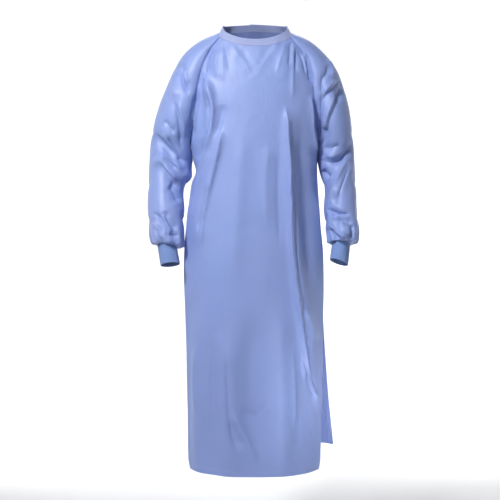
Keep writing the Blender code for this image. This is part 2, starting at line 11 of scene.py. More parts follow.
import bmesh
import bpy
import numpy as np
from mathutils import Vector
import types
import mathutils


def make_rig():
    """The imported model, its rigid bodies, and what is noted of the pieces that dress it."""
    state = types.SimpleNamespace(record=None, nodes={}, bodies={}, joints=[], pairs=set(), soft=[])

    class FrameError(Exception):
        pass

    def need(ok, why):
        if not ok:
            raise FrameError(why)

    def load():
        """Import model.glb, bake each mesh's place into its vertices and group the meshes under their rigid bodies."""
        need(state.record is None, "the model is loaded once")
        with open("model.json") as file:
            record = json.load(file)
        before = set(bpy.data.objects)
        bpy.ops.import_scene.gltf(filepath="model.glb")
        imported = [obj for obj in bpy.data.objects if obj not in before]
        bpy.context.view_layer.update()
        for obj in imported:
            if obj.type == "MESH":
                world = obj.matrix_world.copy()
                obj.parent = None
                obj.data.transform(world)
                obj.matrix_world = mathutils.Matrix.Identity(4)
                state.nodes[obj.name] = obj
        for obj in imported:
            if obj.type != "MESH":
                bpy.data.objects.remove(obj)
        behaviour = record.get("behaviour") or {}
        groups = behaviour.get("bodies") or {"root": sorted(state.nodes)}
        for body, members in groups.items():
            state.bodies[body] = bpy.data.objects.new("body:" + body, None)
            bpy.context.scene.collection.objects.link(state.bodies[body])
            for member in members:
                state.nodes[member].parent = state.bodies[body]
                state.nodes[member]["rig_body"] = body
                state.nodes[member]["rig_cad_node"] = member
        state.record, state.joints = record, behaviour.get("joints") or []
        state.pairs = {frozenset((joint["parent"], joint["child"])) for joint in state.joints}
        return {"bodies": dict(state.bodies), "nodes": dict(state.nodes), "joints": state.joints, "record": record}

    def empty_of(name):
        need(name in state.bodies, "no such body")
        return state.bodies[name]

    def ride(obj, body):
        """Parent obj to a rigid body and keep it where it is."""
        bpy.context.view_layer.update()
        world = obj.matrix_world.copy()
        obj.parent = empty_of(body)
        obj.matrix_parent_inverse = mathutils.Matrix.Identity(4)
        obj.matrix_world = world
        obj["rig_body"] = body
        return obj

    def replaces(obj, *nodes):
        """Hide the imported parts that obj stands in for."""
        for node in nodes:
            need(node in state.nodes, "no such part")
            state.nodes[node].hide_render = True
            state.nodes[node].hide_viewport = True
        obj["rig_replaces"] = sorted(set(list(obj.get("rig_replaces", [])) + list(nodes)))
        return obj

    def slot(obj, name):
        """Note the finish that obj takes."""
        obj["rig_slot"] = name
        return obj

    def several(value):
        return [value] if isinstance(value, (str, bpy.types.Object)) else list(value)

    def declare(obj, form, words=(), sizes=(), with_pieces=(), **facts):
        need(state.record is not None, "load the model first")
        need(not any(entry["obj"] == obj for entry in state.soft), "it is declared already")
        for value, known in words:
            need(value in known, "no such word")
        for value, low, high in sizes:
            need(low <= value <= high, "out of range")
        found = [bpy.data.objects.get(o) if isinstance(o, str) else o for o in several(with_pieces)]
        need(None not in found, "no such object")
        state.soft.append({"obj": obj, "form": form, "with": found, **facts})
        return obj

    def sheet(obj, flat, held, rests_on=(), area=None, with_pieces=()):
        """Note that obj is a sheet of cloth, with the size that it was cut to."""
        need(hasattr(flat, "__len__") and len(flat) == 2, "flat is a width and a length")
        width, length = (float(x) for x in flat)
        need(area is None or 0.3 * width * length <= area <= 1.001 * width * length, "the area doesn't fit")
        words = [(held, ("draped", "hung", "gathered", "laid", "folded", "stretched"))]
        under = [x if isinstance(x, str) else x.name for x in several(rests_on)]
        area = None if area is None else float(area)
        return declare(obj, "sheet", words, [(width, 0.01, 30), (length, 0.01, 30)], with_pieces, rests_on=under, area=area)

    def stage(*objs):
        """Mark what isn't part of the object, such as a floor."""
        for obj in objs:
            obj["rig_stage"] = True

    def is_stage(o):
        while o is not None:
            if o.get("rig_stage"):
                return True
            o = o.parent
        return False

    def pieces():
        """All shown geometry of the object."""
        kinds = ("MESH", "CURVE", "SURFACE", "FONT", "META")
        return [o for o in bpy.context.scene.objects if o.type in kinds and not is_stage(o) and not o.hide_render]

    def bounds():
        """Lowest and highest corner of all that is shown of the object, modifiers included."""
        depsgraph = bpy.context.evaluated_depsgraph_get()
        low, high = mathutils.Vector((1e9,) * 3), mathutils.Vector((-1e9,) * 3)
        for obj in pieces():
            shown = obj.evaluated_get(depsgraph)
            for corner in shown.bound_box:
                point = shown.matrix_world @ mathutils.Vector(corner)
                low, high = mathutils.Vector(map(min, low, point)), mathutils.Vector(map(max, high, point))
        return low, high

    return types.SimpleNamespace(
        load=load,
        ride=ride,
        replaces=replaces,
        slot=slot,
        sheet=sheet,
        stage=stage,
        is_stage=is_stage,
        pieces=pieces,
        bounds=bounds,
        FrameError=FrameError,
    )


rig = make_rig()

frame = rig.load()
SOLID_LOW, SOLID_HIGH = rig.bounds()

# Driving dimensions, in metres
CLOTH_SHOWN = 0.0008
RIB_KNIT_SHOWN = 0.0018
BINDING_SHOWN = 0.0018
BINDING_PROUD = 0.0006
FACING_SHOWN = 0.0006
SEAM_GAP = 0.0003
NECK_LAYER_STEP = 0.0052
BACK_LAYER_STEP = 0.0090
UNDERARM_Z = -0.355
FRONT_HEM_Z = -1.215
FLAP_HEM_Z = -1.170
BINDING_HEIGHT = 0.019
BINDING_LEAN = 0.009
BINDING_EVEN_REACH = 0.026
BINDING_MIDDLE = (0.003, -0.008)
FACING_WIDTH = 0.031
FACING_WELTS = (0.013, 0.026)
FACING_WELT_WIDTH = 0.0030
FACING_WELT_HEIGHT = 0.0028
FLAP_PANEL_WIDTH = 0.56
FASTENER = 0.0022
SECTION_POWER = 2.3
TUBE_ROUNDNESS = 2.0
NECK_DIP_POWER = 1.3
FLARE_POWER = 3

# Where the back panels part, in degrees round the body: the outer one comes off the body towards
# its free edge, and the inner one tucks in behind the left seam
OUTER_LAYER_START = 195.0
OUTER_LAYER_RUN = 75.0
INNER_LAYER_START = 184.0
INNER_LAYER_RUN = 26.0
LAYER_TOP_Z = -0.05
LAYER_GROWTH = 0.25
FLAP_LIFT_START = 0.4

# Cells of each piece along its rows and columns
YOKE_ROWS = 9
SKIRT_ROWS = 20
YOKE_SPLIT = 12
SKIRT_SPLIT = 6
FRONT_COLUMNS = 26
OUTER_BACK_COLUMNS = 20
INNER_BACK_COLUMNS = 12
PANEL_SPLIT = 7
SLEEVE_COLUMNS = 24
SLEEVE_SPLIT = 7
SLEEVE_TUBE_ROWS = 120
EDGE_SPLIT = 2
CUFF_ROWS = 20
CUFF_COLUMNS = 360
BINDING_ROWS = 10

# The worn body of the gown, one row for each height: x of its right and left sides as worn,
# y of its front and its back
Section = namedtuple("Section", "z right left front back")
BODY = [
    Section(-1.230, -0.179, 0.184, -0.159, 0.151),
    Section(-1.100, -0.181, 0.187, -0.156, 0.150),
    Section(-0.950, -0.184, 0.190, -0.152, 0.148),
    Section(-0.800, -0.189, 0.192, -0.149, 0.146),
    Section(-0.626, -0.194, 0.194, -0.145, 0.140),
    Section(-0.539, -0.188, 0.187, -0.142, 0.132),
    Section(-0.479, -0.183, 0.183, -0.140, 0.126),
    Section(-0.355, -0.172, 0.178, -0.136, 0.122),
    Section(-0.290, -0.186, 0.190, -0.134, 0.124),
    Section(-0.240, -0.194, 0.199, -0.131, 0.124),
    Section(-0.172, -0.197, 0.204, -0.125, 0.120),
    Section(-0.104, -0.183, 0.192, -0.113, 0.108),
    Section(-0.054, -0.158, 0.166, -0.098, 0.092),
    Section(-0.030, -0.141, 0.148, -0.088, 0.081),
    Section(-0.008, -0.122, 0.129, -0.075, 0.068),
    Section(0.014, -0.104, 0.110, -0.060, 0.054),
]

# The raglan seam, from the underarm (share 0) to the neck (share 1): how far round from the side
# it lies, in degrees, on the front and on the back
Raglan = namedtuple("Raglan", "share front_deg back_deg")
RAGLAN = [
    Raglan(0.00, 0.0, 0.0),
    Raglan(0.12, 14.0, 13.0),
    Raglan(0.25, 27.0, 24.0),
    Raglan(0.40, 36.0, 31.0),
    Raglan(0.60, 40.0, 34.0),
    Raglan(0.80, 41.0, 37.0),
    Raglan(0.92, 43.0, 41.0),
    Raglan(1.00, 46.0, 45.0),
]
NECK_FRONT_SEAM_Z = -0.020
NECK_BACK_SEAM_Z = 0.010
NECK_FRONT_Z = -0.046
NECK_BACK_Z = 0.014

# The top line of each sleeve's cap over the shoulder, from the underarm section (share 0) to
# the neck (share 1), with how far the cap rounds out to front and back
Cap = namedtuple("Cap", "share x z y bulge roundness")
CAP_RIGHT = [
    Cap(0.00, -0.293, -0.335, 0.002, 0.068, 2.0),
    Cap(0.10, -0.289, -0.287, 0.003, 0.054, 1.35),
    Cap(0.30, -0.269, -0.209, 0.005, 0.034, 1.2),
    Cap(0.45, -0.249, -0.157, 0.006, 0.024, 1.15),
    Cap(0.60, -0.225, -0.103, 0.006, 0.016, 1.15),
    Cap(0.75, -0.194, -0.055, 0.004, 0.010, 1.1),
    Cap(0.88, -0.149, -0.020, 0.001, 0.005, 1.05),
    Cap(1.00, -0.094, 0.003, -0.002, 0.000, 1.0),
]
CAP_LEFT = [
    Cap(0.00, 0.282, -0.335, 0.002, 0.068, 2.0),
    Cap(0.10, 0.279, -0.288, 0.003, 0.054, 1.35),
    Cap(0.30, 0.268, -0.211, 0.005, 0.034, 1.2),
    Cap(0.45, 0.255, -0.160, 0.006, 0.024, 1.15),
    Cap(0.60, 0.235, -0.106, 0.006, 0.016, 1.15),
    Cap(0.75, 0.202, -0.060, 0.004, 0.010, 1.1),
    Cap(0.88, 0.156, -0.021, 0.001, 0.005, 1.05),
    Cap(1.00, 0.100, 0.003, -0.002, 0.000, 1.0),
]

# Each sleeve below the underarm (share 0) down to its cuff seam (share 1): its inner and outer
# lines as seen from the front, the depth of its middle, its half depth and its forward tilt
Tube = namedtuple("Tube", "share in_x in_z out_x out_z y half_depth tilt")
TUBE_RIGHT = [
    Tube(0.00, -0.172, -0.355, -0.293, -0.335, 0.002, 0.068, 0.00),
    Tube(0.18, -0.182, -0.398, -0.295, -0.388, -0.008, 0.066, 0.03),
    Tube(0.36, -0.196, -0.443, -0.297, -0.442, -0.021, 0.064, 0.08),
    Tube(0.54, -0.193, -0.494, -0.296, -0.494, -0.040, 0.061, 0.14),
    Tube(0.70, -0.194, -0.538, -0.292, -0.538, -0.056, 0.057, 0.18),
    Tube(0.82, -0.195, -0.570, -0.287, -0.566, -0.066, 0.054, 0.20),
    Tube(0.91, -0.194, -0.593, -0.281, -0.585, -0.072, 0.049, 0.21),
    Tube(1.00, -0.2115, -0.597, -0.267, -0.589, -0.075, 0.034, 0.22),
]
TUBE_LEFT = [
    Tube(0.00, 0.178, -0.355, 0.282, -0.335, 0.002, 0.068, 0.00),
    Tube(0.18, 0.187, -0.398, 0.284, -0.388, -0.008, 0.066, 0.03),
    Tube(0.36, 0.197, -0.443, 0.287, -0.442, -0.021, 0.064, 0.08),
    Tube(0.54, 0.194, -0.491, 0.286, -0.488, -0.040, 0.061, 0.14),
    Tube(0.70, 0.197, -0.533, 0.290, -0.528, -0.056, 0.058, 0.18),
    Tube(0.82, 0.203, -0.562, 0.289, -0.560, -0.066, 0.056, 0.20),
    Tube(0.91, 0.205, -0.583, 0.284, -0.583, -0.072, 0.050, 0.21),
    Tube(1.00, 0.2155, -0.580, 0.2655, -0.589, -0.075, 0.034, 0.22),
]

# The far end of each rib-knit cuff, in the same terms
CUFF_RIGHT_END = Tube(1.00, -0.203, -0.640, -0.257, -0.646, -0.088, 0.033, 0.24)
CUFF_LEFT_END = Tube(1.00, 0.2075, -0.628, 0.2585, -0.645, -0.088, 0.033, 0.24)

# Gathers of the sleeve above its cuff: broad waves, and fine puckers close to the seam
Gather = namedtuple("Gather", "waves height start fade_in fade_out drift phase")
GATHERS = [
    Gather(8, 0.0034, 0.62, 0.22, 0.06, 1.1, 0.7),
    Gather(23, 0.0011, 0.86, 0.10, 0.03, 1.7, 2.1),
]

# The flap, the free side of the outer back panel: how far it swings out past the left side
Flare = namedtuple("Flare", "z out")
FLARE = [
    Flare(-1.230, 0.054),
    Flare(-1.166, 0.049),
    Flare(-1.032, 0.030),
    Flare(-0.909, 0.017),
    Flare(-0.809, 0.009),
    Flare(-0.600, 0.002),
    Flare(-0.450, 0.000),
    Flare(0.020, 0.000),
]

# Where the free edge of each back panel runs, in degrees round the body from its right side,
# by height. The middle of the back is at 270
FreeEdge = namedtuple("FreeEdge", "z outer_deg inner_deg")
FREE_EDGE = [
    FreeEdge(-1.230, 198.0, 302.0),
    FreeEdge(-0.800, 198.0, 302.0),
    FreeEdge(-0.480, 199.0, 300.0),
    FreeEdge(-0.400, 203.0, 297.0),
    FreeEdge(-0.300, 216.0, 292.0),
    FreeEdge(-0.200, 232.0, 287.0),
    FreeEdge(-0.100, 248.0, 282.0),
    FreeEdge(-0.030, 258.0, 278.0),
    FreeEdge(0.020, 263.0, 277.0),
]

# Folds and creases, in millimetres: the half width of each one, its height above the cloth or
# below it, its line as seen from the side that it faces, and how far it leans, which makes one
# flank the steeper
Fold = namedtuple("Fold", "facing width height path lean", defaults=[0.0])
MM = 0.001

# How squarely the cloth has to face a fold's side to carry it in full, and the share of a fold's
# length over which it fades at each end
FOLD_FACING = 0.55
FOLD_END_FADE = 0.25

# Broad folds of the whole gown
FOLDS = [
    Fold("front", 21, 16, [(83, -200), (91, -370), (105, -540), (117, -700), (146, -890),
                           (155, -1020)], -0.35),
    Fold("front", 22, -12, [(128, -220), (132, -400), (143, -580), (156, -740)]),
    Fold("front", 24, 6, [(-30, -250), (-42, -430), (-51, -580), (-54, -720)]),
    Fold("front", 14, 9, [(-130, -120), (-118, -220), (-122, -340)]),
    Fold("front", 11, -6, [(-146, -100), (-143, -200), (-147, -300)]),
    Fold("front", 16, 10, [(-88, -270), (-122, -410), (-148, -520), (-151, -620)], 0.3),
    Fold("front", 32, -9, [(-4, -760), (-10, -980), (12, -1190)]),
    Fold("front", 28, 11, [(-70, -800), (-72, -1060), (-60, -1260)]),
    Fold("front", 26, 10, [(66, -740), (78, -1000), (84, -1260)]),
    Fold("front", 20, 9, [(-146, -740), (-152, -1000), (-154, -1260)]),
    Fold("front", 18, -7, [(-112, -800), (-114, -1050), (-108, -1260)]),
    Fold("front", 22, -2.4, [(-48, -60), (6, -130)]),
    Fold("front", 22, -2.4, [(62, -60), (16, -130)]),
    Fold("front", 14, 3, [(96, -50), (76, -150)]),
    Fold("back", 36, 14, [(-78, -140), (-86, -500), (-94, -900), (-98, -1280)]),
    Fold("back", 34, -10, [(-24, -340), (-30, -800), (-32, -1280)]),
    Fold("back", 36, 12, [(40, -200), (36, -550), (40, -900), (42, -1280)]),
    Fold("back", 32, -9, [(110, -300), (116, -600), (122, -900), (126, -1280)]),
    Fold("front", 12, -8, [(-232, -60), (-226, -85), (-208, -108)]),
    Fold("front", 13, -9, [(-285, -285), (-240, -335), (-206, -395)]),
    Fold("front", 12, 8, [(-280, -345), (-232, -390), (-208, -420)]),
    Fold("front", 11, -6, [(-290, -520), (-250, -560)]),
    Fold("front", 12, -8, [(268, -120), (222, -200)]),
    Fold("front", 13, -9, [(276, -300), (215, -370)]),
    Fold("front", 12, 8, [(270, -360), (222, -470)]),
    Fold("front", 10, -6, [(206, -495), (262, -520)]),
    Fold("back", 13, -9, [(-280, -310), (-214, -375)]),
    Fold("back", 13, 8, [(-286, -480), (-222, -440)]),
    Fold("back", 13, -9, [(272, -310), (208, -375)]),
    Fold("back", 13, 8, [(276, -480), (216, -440)]),
]

# How deep all creases are pressed, how round their crests are, and the longest fade of an end
CREASE_DEPTH = 1.7
CREASE_CREST = 0.0020
CREASE_END_FADE = 0.055

# The pouch of cloth at the bend of the right elbow, and the tuck of the body beside it
ELBOW_POUCH = Fold("left", 19, 9, [(-70, -392), (-10, -400), (50, -392)])
WAIST_TUCK = Fold("right", 22, -10, [(-105, -385), (-20, -385), (80, -385)])

# The deep clefts where each sleeve sinks in against the body, along the raglan seams
ARMHOLE_CLEFTS = [
    Fold("front", 6, -7, [(-150, -160), (-160, -198), (-167, -230), (-171, -262), (-172, -285),
                          (-172, -312)]),
    Fold("front", 6.2, -7.8, [(186, -170), (181, -205), (179, -232), (175, -262), (174, -290),
                              (175, -318)]),
    Fold("back", 7, -6, [(-160, -180), (-172, -240), (-177, -320)]),
    Fold("back", 7, -6, [(166, -180), (177, -240), (180, -320)]),
]

# Creases of the front panel
FRONT_CREASES = [
    Fold("front", 7, 6.2, [(84, -205), (88, -250), (91, -299), (96, -359), (100, -456), (106, -607),
                           (116, -698), (127, -769), (143, -885), (153, -955), (166, -1005),
                           (176, -1060)], -0.4),
    Fold("front", 7, -5.6, [(100, -250), (109, -420), (116, -600), (126, -700), (135, -770),
                            (146, -850), (154, -920), (164, -970), (176, -1010)]),
    Fold("front", 5, 2.5, [(106, -20), (108, -60), (107, -104), (104, -130), (105, -200)]),
    Fold("front", 4.5, -3, [(102, -30), (99, -58), (95, -110)]),
    Fold("front", 5, -4, [(118, -45), (115, -80), (112, -125)]),
    Fold("front", 5, 6, [(153, -172), (159, -231), (163, -274), (167, -315), (171, -352)]),
    Fold("front", 5.5, -5, [(164, -185), (169, -235), (174, -290)]),
    Fold("front", 5, -4.2, [(120, -49), (131, -70), (138, -92), (145, -130)]),
    Fold("front", 4.8, -5, [(147, -55), (144, -68), (147, -93), (154, -128), (160, -155)]),
    Fold("front", 4.5, 3.2, [(137, -55), (142, -85), (150, -125)]),
    Fold("front", 7.5, 6.2, [(-134, -122), (-127, -158), (-117, -192), (-113, -219), (-115, -252),
                             (-118, -274), (-126, -305), (-135, -343), (-149, -374), (-163, -410),
                             (-170, -435)]),
    Fold("front", 6.5, -6.5, [(-133, -165), (-126, -203), (-124, -235), (-127, -275), (-139, -315),
                              (-149, -350), (-160, -380)]),
    Fold("front", 8.5, 4.8, [(-84, -255), (-96, -320), (-107, -372), (-118, -416), (-126, -445),
                             (-134, -485), (-141, -540), (-144, -600)]),
    Fold("front", 8, -5, [(-127, -420), (-137, -460), (-147, -510), (-154, -565)]),
    Fold("front", 10, -3.2, [(-84, -205), (-92, -245), (-101, -295)]),
    Fold("front", 4.8, -5.2, [(-106, -46), (-118, -62), (-123, -80), (-127, -103), (-130, -125)]),
    Fold("front", 6, 2.4, [(-96, -45), (-103, -85), (-102, -140)]),
    Fold("front", 8, -1.6, [(-81, -30), (-75, -65), (-66, -120)]),
    Fold("front", 12, 1, [(-72, -30), (-46, -66), (-24, -94), (-4, -130)], 0.3),
    Fold("front", 12, 1, [(74, -30), (48, -66), (26, -94), (6, -130)], -0.3),
    Fold("front", 15, -1.2, [(-56, -36), (-30, -62), (-6, -104)]),
    Fold("front", 15, -1.2, [(58, -36), (32, -62), (8, -104)]),
    Fold("front", 6, 1.6, [(90, -34), (72, -80), (58, -130)]),
    Fold("front", 7, 1.6, [(-88, -36), (-84, -90), (-86, -150)]),
    Fold("front", 6, 3.6, [(119, -700), (127, -757), (124, -785)]),
    Fold("front", 6, 5.6, [(138, -765), (148, -790), (162, -822), (176, -855)]),
    Fold("front", 6.5, -4, [(134, -800), (146, -826), (160, -856)]),
    Fold("front", 6, 3.4, [(128, -900), (136, -935), (146, -965)]),
    Fold("front", 5, -5.8, [(140, -935), (149, -960), (158, -985), (168, -1010)]),
    Fold("front", 8, -5, [(-76, -880), (-74, -960), (-70, -1050), (-58, -1110), (-36, -1160)]),
    Fold("front", 6.5, 5.2, [(-60, -1030), (-44, -1068), (-26, -1100), (12, -1180)]),
    Fold("front", 7, -4, [(-66, -1060), (-46, -1105), (-26, -1140)]),
    Fold("front", 14, -2.6, [(-40, -1030), (-12, -1052), (10, -1050), (40, -1015)]),
    Fold("front", 6, 2.6, [(4, -1062), (22, -1048), (46, -1020)]),
    Fold("front", 11, 3, [(-118, -860), (-122, -960), (-116, -1080)]),
    Fold("front", 8, 3.6, [(-160, -860), (-163, -960), (-160, -1060)]),
    Fold("front", 11, 3.6, [(102, -860), (108, -960), (110, -1090)]),
    Fold("front", 17, 2.8, [(40, -300), (30, -420), (34, -540)]),
    Fold("front", 10, -2.8, [(66, -330), (64, -460), (70, -600)]),
]

# Creases of the right sleeve
RIGHT_SLEEVE_CREASES = [
    Fold("front", 5, -6.2, [(-197, -85), (-201, -115), (-198, -137), (-188, -158), (-176, -181)]),
    Fold("front", 5, 3.4, [(-188, -100), (-188, -130), (-179, -152)]),
    Fold("front", 7, -3.4, [(-234, -112), (-241, -155), (-236, -195)]),
    Fold("front", 7.5, 3, [(-220, -110), (-221, -150), (-212, -190)]),
    Fold("front", 6, -5.2, [(-224, -190), (-212, -217), (-205, -246), (-201, -285), (-201, -330)]),
    Fold("front", 7, 3.4, [(-209, -195), (-196, -245), (-190, -300)]),
    Fold("front", 6, -4.2, [(-249, -243), (-232, -269), (-213, -283)]),
    Fold("front", 5.8, -6.2, [(-279, -270), (-268, -294), (-246, -319), (-228, -337), (-211, -353)]),
    Fold("front", 5.8, -6.6, [(-238, -287), (-232, -305), (-218, -328), (-205, -351), (-190, -373)]),
    Fold("front", 7.5, 5.8, [(-274, -346), (-240, -351), (-214, -368), (-196, -392)]),
    Fold("front", 8, -8.5, [(-268, -354), (-253, -377), (-235, -402), (-217, -422), (-202, -438)]),
    Fold("front", 10, -5.5, [(-232, -420), (-215, -447), (-205, -475)]),
    Fold("front", 5, -5.2, [(-279, -497), (-259, -513), (-245, -531), (-234, -558), (-228, -578)]),
    Fold("front", 6, 5, [(-276, -518), (-260, -550), (-245, -575)]),
    Fold("front", 6.8, -5, [(-244, -493), (-236, -517), (-220, -538), (-209, -549)]),
    Fold("front", 5, 4.2, [(-251, -503), (-240, -530), (-223, -558)]),
    Fold("front", 4.5, -3.6, [(-229, -555), (-214, -563), (-204, -558)]),
    Fold("back", 6.5, -5.8, [(-278, -285), (-248, -322), (-212, -348)]),
    Fold("back", 8, 5.6, [(-286, -350), (-250, -385), (-212, -420)]),
    Fold("back", 7.5, -5.6, [(-290, -412), (-256, -450), (-212, -484)]),
    Fold("back", 6, -4.6, [(-280, -520), (-252, -548), (-226, -556)]),
    Fold("back", 6, 4, [(-268, -500), (-244, -530), (-216, -548)]),
    Fold("back", 8, -4.2, [(-206, -120), (-232, -190), (-240, -262)]),
    Fold("back", 8, 4, [(-186, -110), (-208, -180), (-214, -255)]),
]

# Creases of the left sleeve
LEFT_SLEEVE_CREASES = [
    Fold("front", 6.6, -4.6, [(250, -126), (215, -161), (198, -179), (180, -204)]),
    Fold("front", 5.5, 4.2, [(228, -133), (201, -162), (188, -178)]),
    Fold("front", 5, -4.4, [(205, -90), (202, -117), (189, -132), (185, -147), (185, -182)]),
    Fold("front", 5, 4.2, [(210, -72), (215, -107), (217, -132)]),
    Fold("front", 7.8, -4.6, [(244, -136), (224, -199), (210, -235), (201, -271), (193, -316)]),
    Fold("front", 6.5, 4.2, [(226, -165), (212, -205), (200, -238), (191, -282)]),
    Fold("front", 6, -5, [(193, -264), (189, -292), (183, -318)]),
    Fold("front", 5.8, -7, [(272, -306), (259, -329), (240, -349), (213, -363), (190, -358)]),
    Fold("front", 7.5, 5, [(264, -298), (242, -332), (215, -346), (194, -340)]),
    Fold("front", 6, -4.2, [(188, -320), (213, -324), (243, -315)]),
    Fold("front", 8, -9, [(184, -382), (195, -395), (206, -409)]),
    Fold("front", 5.8, 6.2, [(259, -347), (239, -386), (223, -425), (212, -456), (203, -483)]),
    Fold("front", 7.2, -5.4, [(264, -370), (247, -412), (233, -447), (221, -483)]),
    Fold("front", 5, -6.8, [(196, -488), (208, -495), (224, -504), (246, -506), (266, -500)]),
    Fold("front", 5, 6.6, [(203, -531), (224, -549), (242, -565), (252, -573)]),
    Fold("front", 5, -5.8, [(202, -544), (219, -558), (234, -573)]),
    Fold("front", 5, -5.2, [(219, -531), (237, -517), (257, -524), (268, -536)]),
    Fold("front", 4.5, 4.4, [(210, -515), (236, -510), (264, -514)]),
    Fold("front", 5.8, -5.6, [(270, -528), (267, -550), (262, -573)]),
    Fold("front", 5, 4.2, [(252, -534), (254, -566)]),
    Fold("back", 6.5, -5.8, [(272, -285), (244, -322), (208, -348)]),
    Fold("back", 8, 5.6, [(278, -350), (246, -385), (208, -420)]),
    Fold("back", 7.5, -5.6, [(280, -412), (250, -450), (208, -484)]),
    Fold("back", 6, -5, [(276, -515), (248, -540), (222, -545)]),
    Fold("back", 6, 4.4, [(266, -496), (240, -522), (214, -530)]),
    Fold("back", 8, -4.2, [(212, -120), (236, -190), (242, -262)]),
    Fold("back", 8, 4, [(192, -110), (214, -180), (220, -255)]),
]

# Creases of the outer sides of the sleeves
SLEEVE_SIDE_CREASES = [
    Fold("right", 8, -4.4, [(-40, -250), (0, -285), (40, -270)]),
    Fold("right", 11, -2.4, [(-60, -400), (-20, -430), (30, -410)]),
    Fold("right", 7, -3.4, [(-85, -500), (-45, -530), (-10, -510)]),
    Fold("left", 8, -4.4, [(-40, -255), (0, -290), (40, -272)]),
    Fold("left", 11, -2.4, [(-60, -395), (-20, -425), (30, -405)]),
    Fold("left", 7, -3.4, [(-85, -495), (-45, -525), (-10, -505)]),
]

# Creases of the back
BACK_CREASES = [
    Fold("back", 10, 4, [(-70, -30), (-92, -110), (-118, -220)]),
    Fold("back", 10, -3.6, [(-50, -40), (-66, -120), (-82, -240)]),
    Fold("back", 10, 4, [(72, -30), (94, -110), (122, -220)]),
    Fold("back", 10, -3.6, [(52, -40), (68, -120), (84, -240)]),
    Fold("back", 12, 4, [(-78, -300), (-84, -500), (-92, -760), (-94, -1050)], -0.3),
    Fold("back", 13, -3.6, [(-108, -420), (-116, -640), (-120, -900)]),
    Fold("back", 12, 3.6, [(44, -360), (40, -560), (46, -860), (44, -1100)], 0.3),
    Fold("back", 14, -3.6, [(76, -420), (82, -700), (78, -1000)]),
    Fold("back", 12, 3.4, [(-140, -380), (-120, -470), (-60, -540)]),
    Fold("back", 12, 3.4, [(140, -400), (110, -500), (60, -560)]),
]

# Folds of the sides of the skirt
SIDE_CREASES = [
    Fold("right", 18, 5.6, [(-60, -440), (-50, -700), (-56, -1000), (-50, -1240)]),
    Fold("right", 20, -5, [(20, -460), (30, -720), (24, -1010), (30, -1240)]),
    Fold("right", 18, 5, [(80, -420), (86, -700), (80, -1000), (84, -1240)]),
    Fold("left", 18, 5, [(-60, -440), (-52, -720), (-60, -1010), (-56, -1240)]),
]

# Seams press the cloth in a little, and pucker it. A hem is a turned edge that stands proud
SEAM_DEPTH = 0.0014
SEAM_WIDTH = 0.0030
PUCKER_LENGTH = 0.017
PUCKER_SHARE = 0.35
HEM_WIDTH = 0.014
HEM_RISE = 0.0006
HEM_ROLL = 0.002

# Threads, and the ribs of the cuffs
STITCH_PITCH = 0.0034
STITCH_LENGTH = 0.0026
STITCH_SIDES = 6
STITCH_RINGS = 4
THREAD = 0.00055
FACING_TURN_POINTS = 8
FACING_TOP_ROW = 2
RIB_COUNT = 72
RIB_HEIGHT = 0.00035

# The turn at which an edge of a shell looks crisp, the shortest length that still has a
# direction, how near two points of the sweep count as one, and the decimals that tell the points
# of two pieces apart along a seam
SHARP_RIM_DEG = 60.0
SHORTEST = 1e-9
SAME_PLACE = 0.0005
SEAM_DECIMALS = 6

# Which pieces stand for which solids, and which of their first and last columns are seams
GOWN_NODES = {
    "front_cloth": "front_panel",
    "back_outer_cloth": "back_panel_outer",
    "back_inner_cloth": "back_panel_inner",
    "sleeve_right_cloth": "sleeve_right",
    "sleeve_left_cloth": "sleeve_left",
}
CUFF_NODES = {"cuff_right_knit": "cuff_right", "cuff_left_knit": "cuff_left"}
PANELS = ("front_cloth", "back_outer_cloth", "back_inner_cloth")
SLEEVES = ("sleeve_right_cloth", "sleeve_left_cloth")
SEAMS = {
    "front_cloth": (True, True),
    "back_outer_cloth": (False, True),
    "back_inner_cloth": (True, False),
    "sleeve_right_cloth": (True, True),
    "sleeve_left_cloth": (True, True),
}

# Each sheet of cloth as it was cut flat: width, length and area, in metres and square metres
Sheet = namedtuple("Sheet", "piece width length area held rests_on")
SHEETS = [
    Sheet("front_cloth", 0.60, 1.20, 0.62, "hung", ["neck_band"]),
    Sheet("back_outer_cloth", 0.58, 1.24, 0.55, "hung", ["neck_band"]),
    Sheet("back_inner_cloth", 0.40, 1.26, 0.41, "hung", ["neck_band"]),
    Sheet("sleeve_right_cloth", 0.44, 0.70, 0.21, "gathered", ["neck_band"]),
    Sheet("sleeve_left_cloth", 0.44, 0.70, 0.21, "gathered", ["neck_band"]),
    Sheet("cuff_right_knit", 0.20, 0.058, None, "stretched", ["sleeve_right_cloth"]),
    Sheet("cuff_left_knit", 0.20, 0.058, None, "stretched", ["sleeve_left_cloth"]),
    Sheet("neck_band", 0.56, 0.024, None, "draped", []),
    Sheet("flap_facing_cloth", 0.031, 0.65, None, "laid", ["back_outer_cloth"]),
    Sheet("neck_touch_fastener", 0.036, 0.045, None, "laid", ["back_inner_cloth"]),
]

# Colours, linear
GOWN_BLUE = (0.236, 0.334, 0.665, 1.0)
GOWN_VIOLET = (0.262, 0.326, 0.655, 1.0)
RIB_BLUE = (0.198, 0.298, 0.590, 1.0)
# Painted shade of the rib knit, mixed into its colour between the loops
RIB_PAINTED_SHADE = (0.160, 0.245, 0.495, 1.0)
BINDING_BLUE = (0.315, 0.366, 0.610, 1.0)
THREAD_BLUE = (0.460, 0.520, 0.830, 1.0)
SWEEP_WHITE = (0.74, 0.74, 0.74, 1.0)

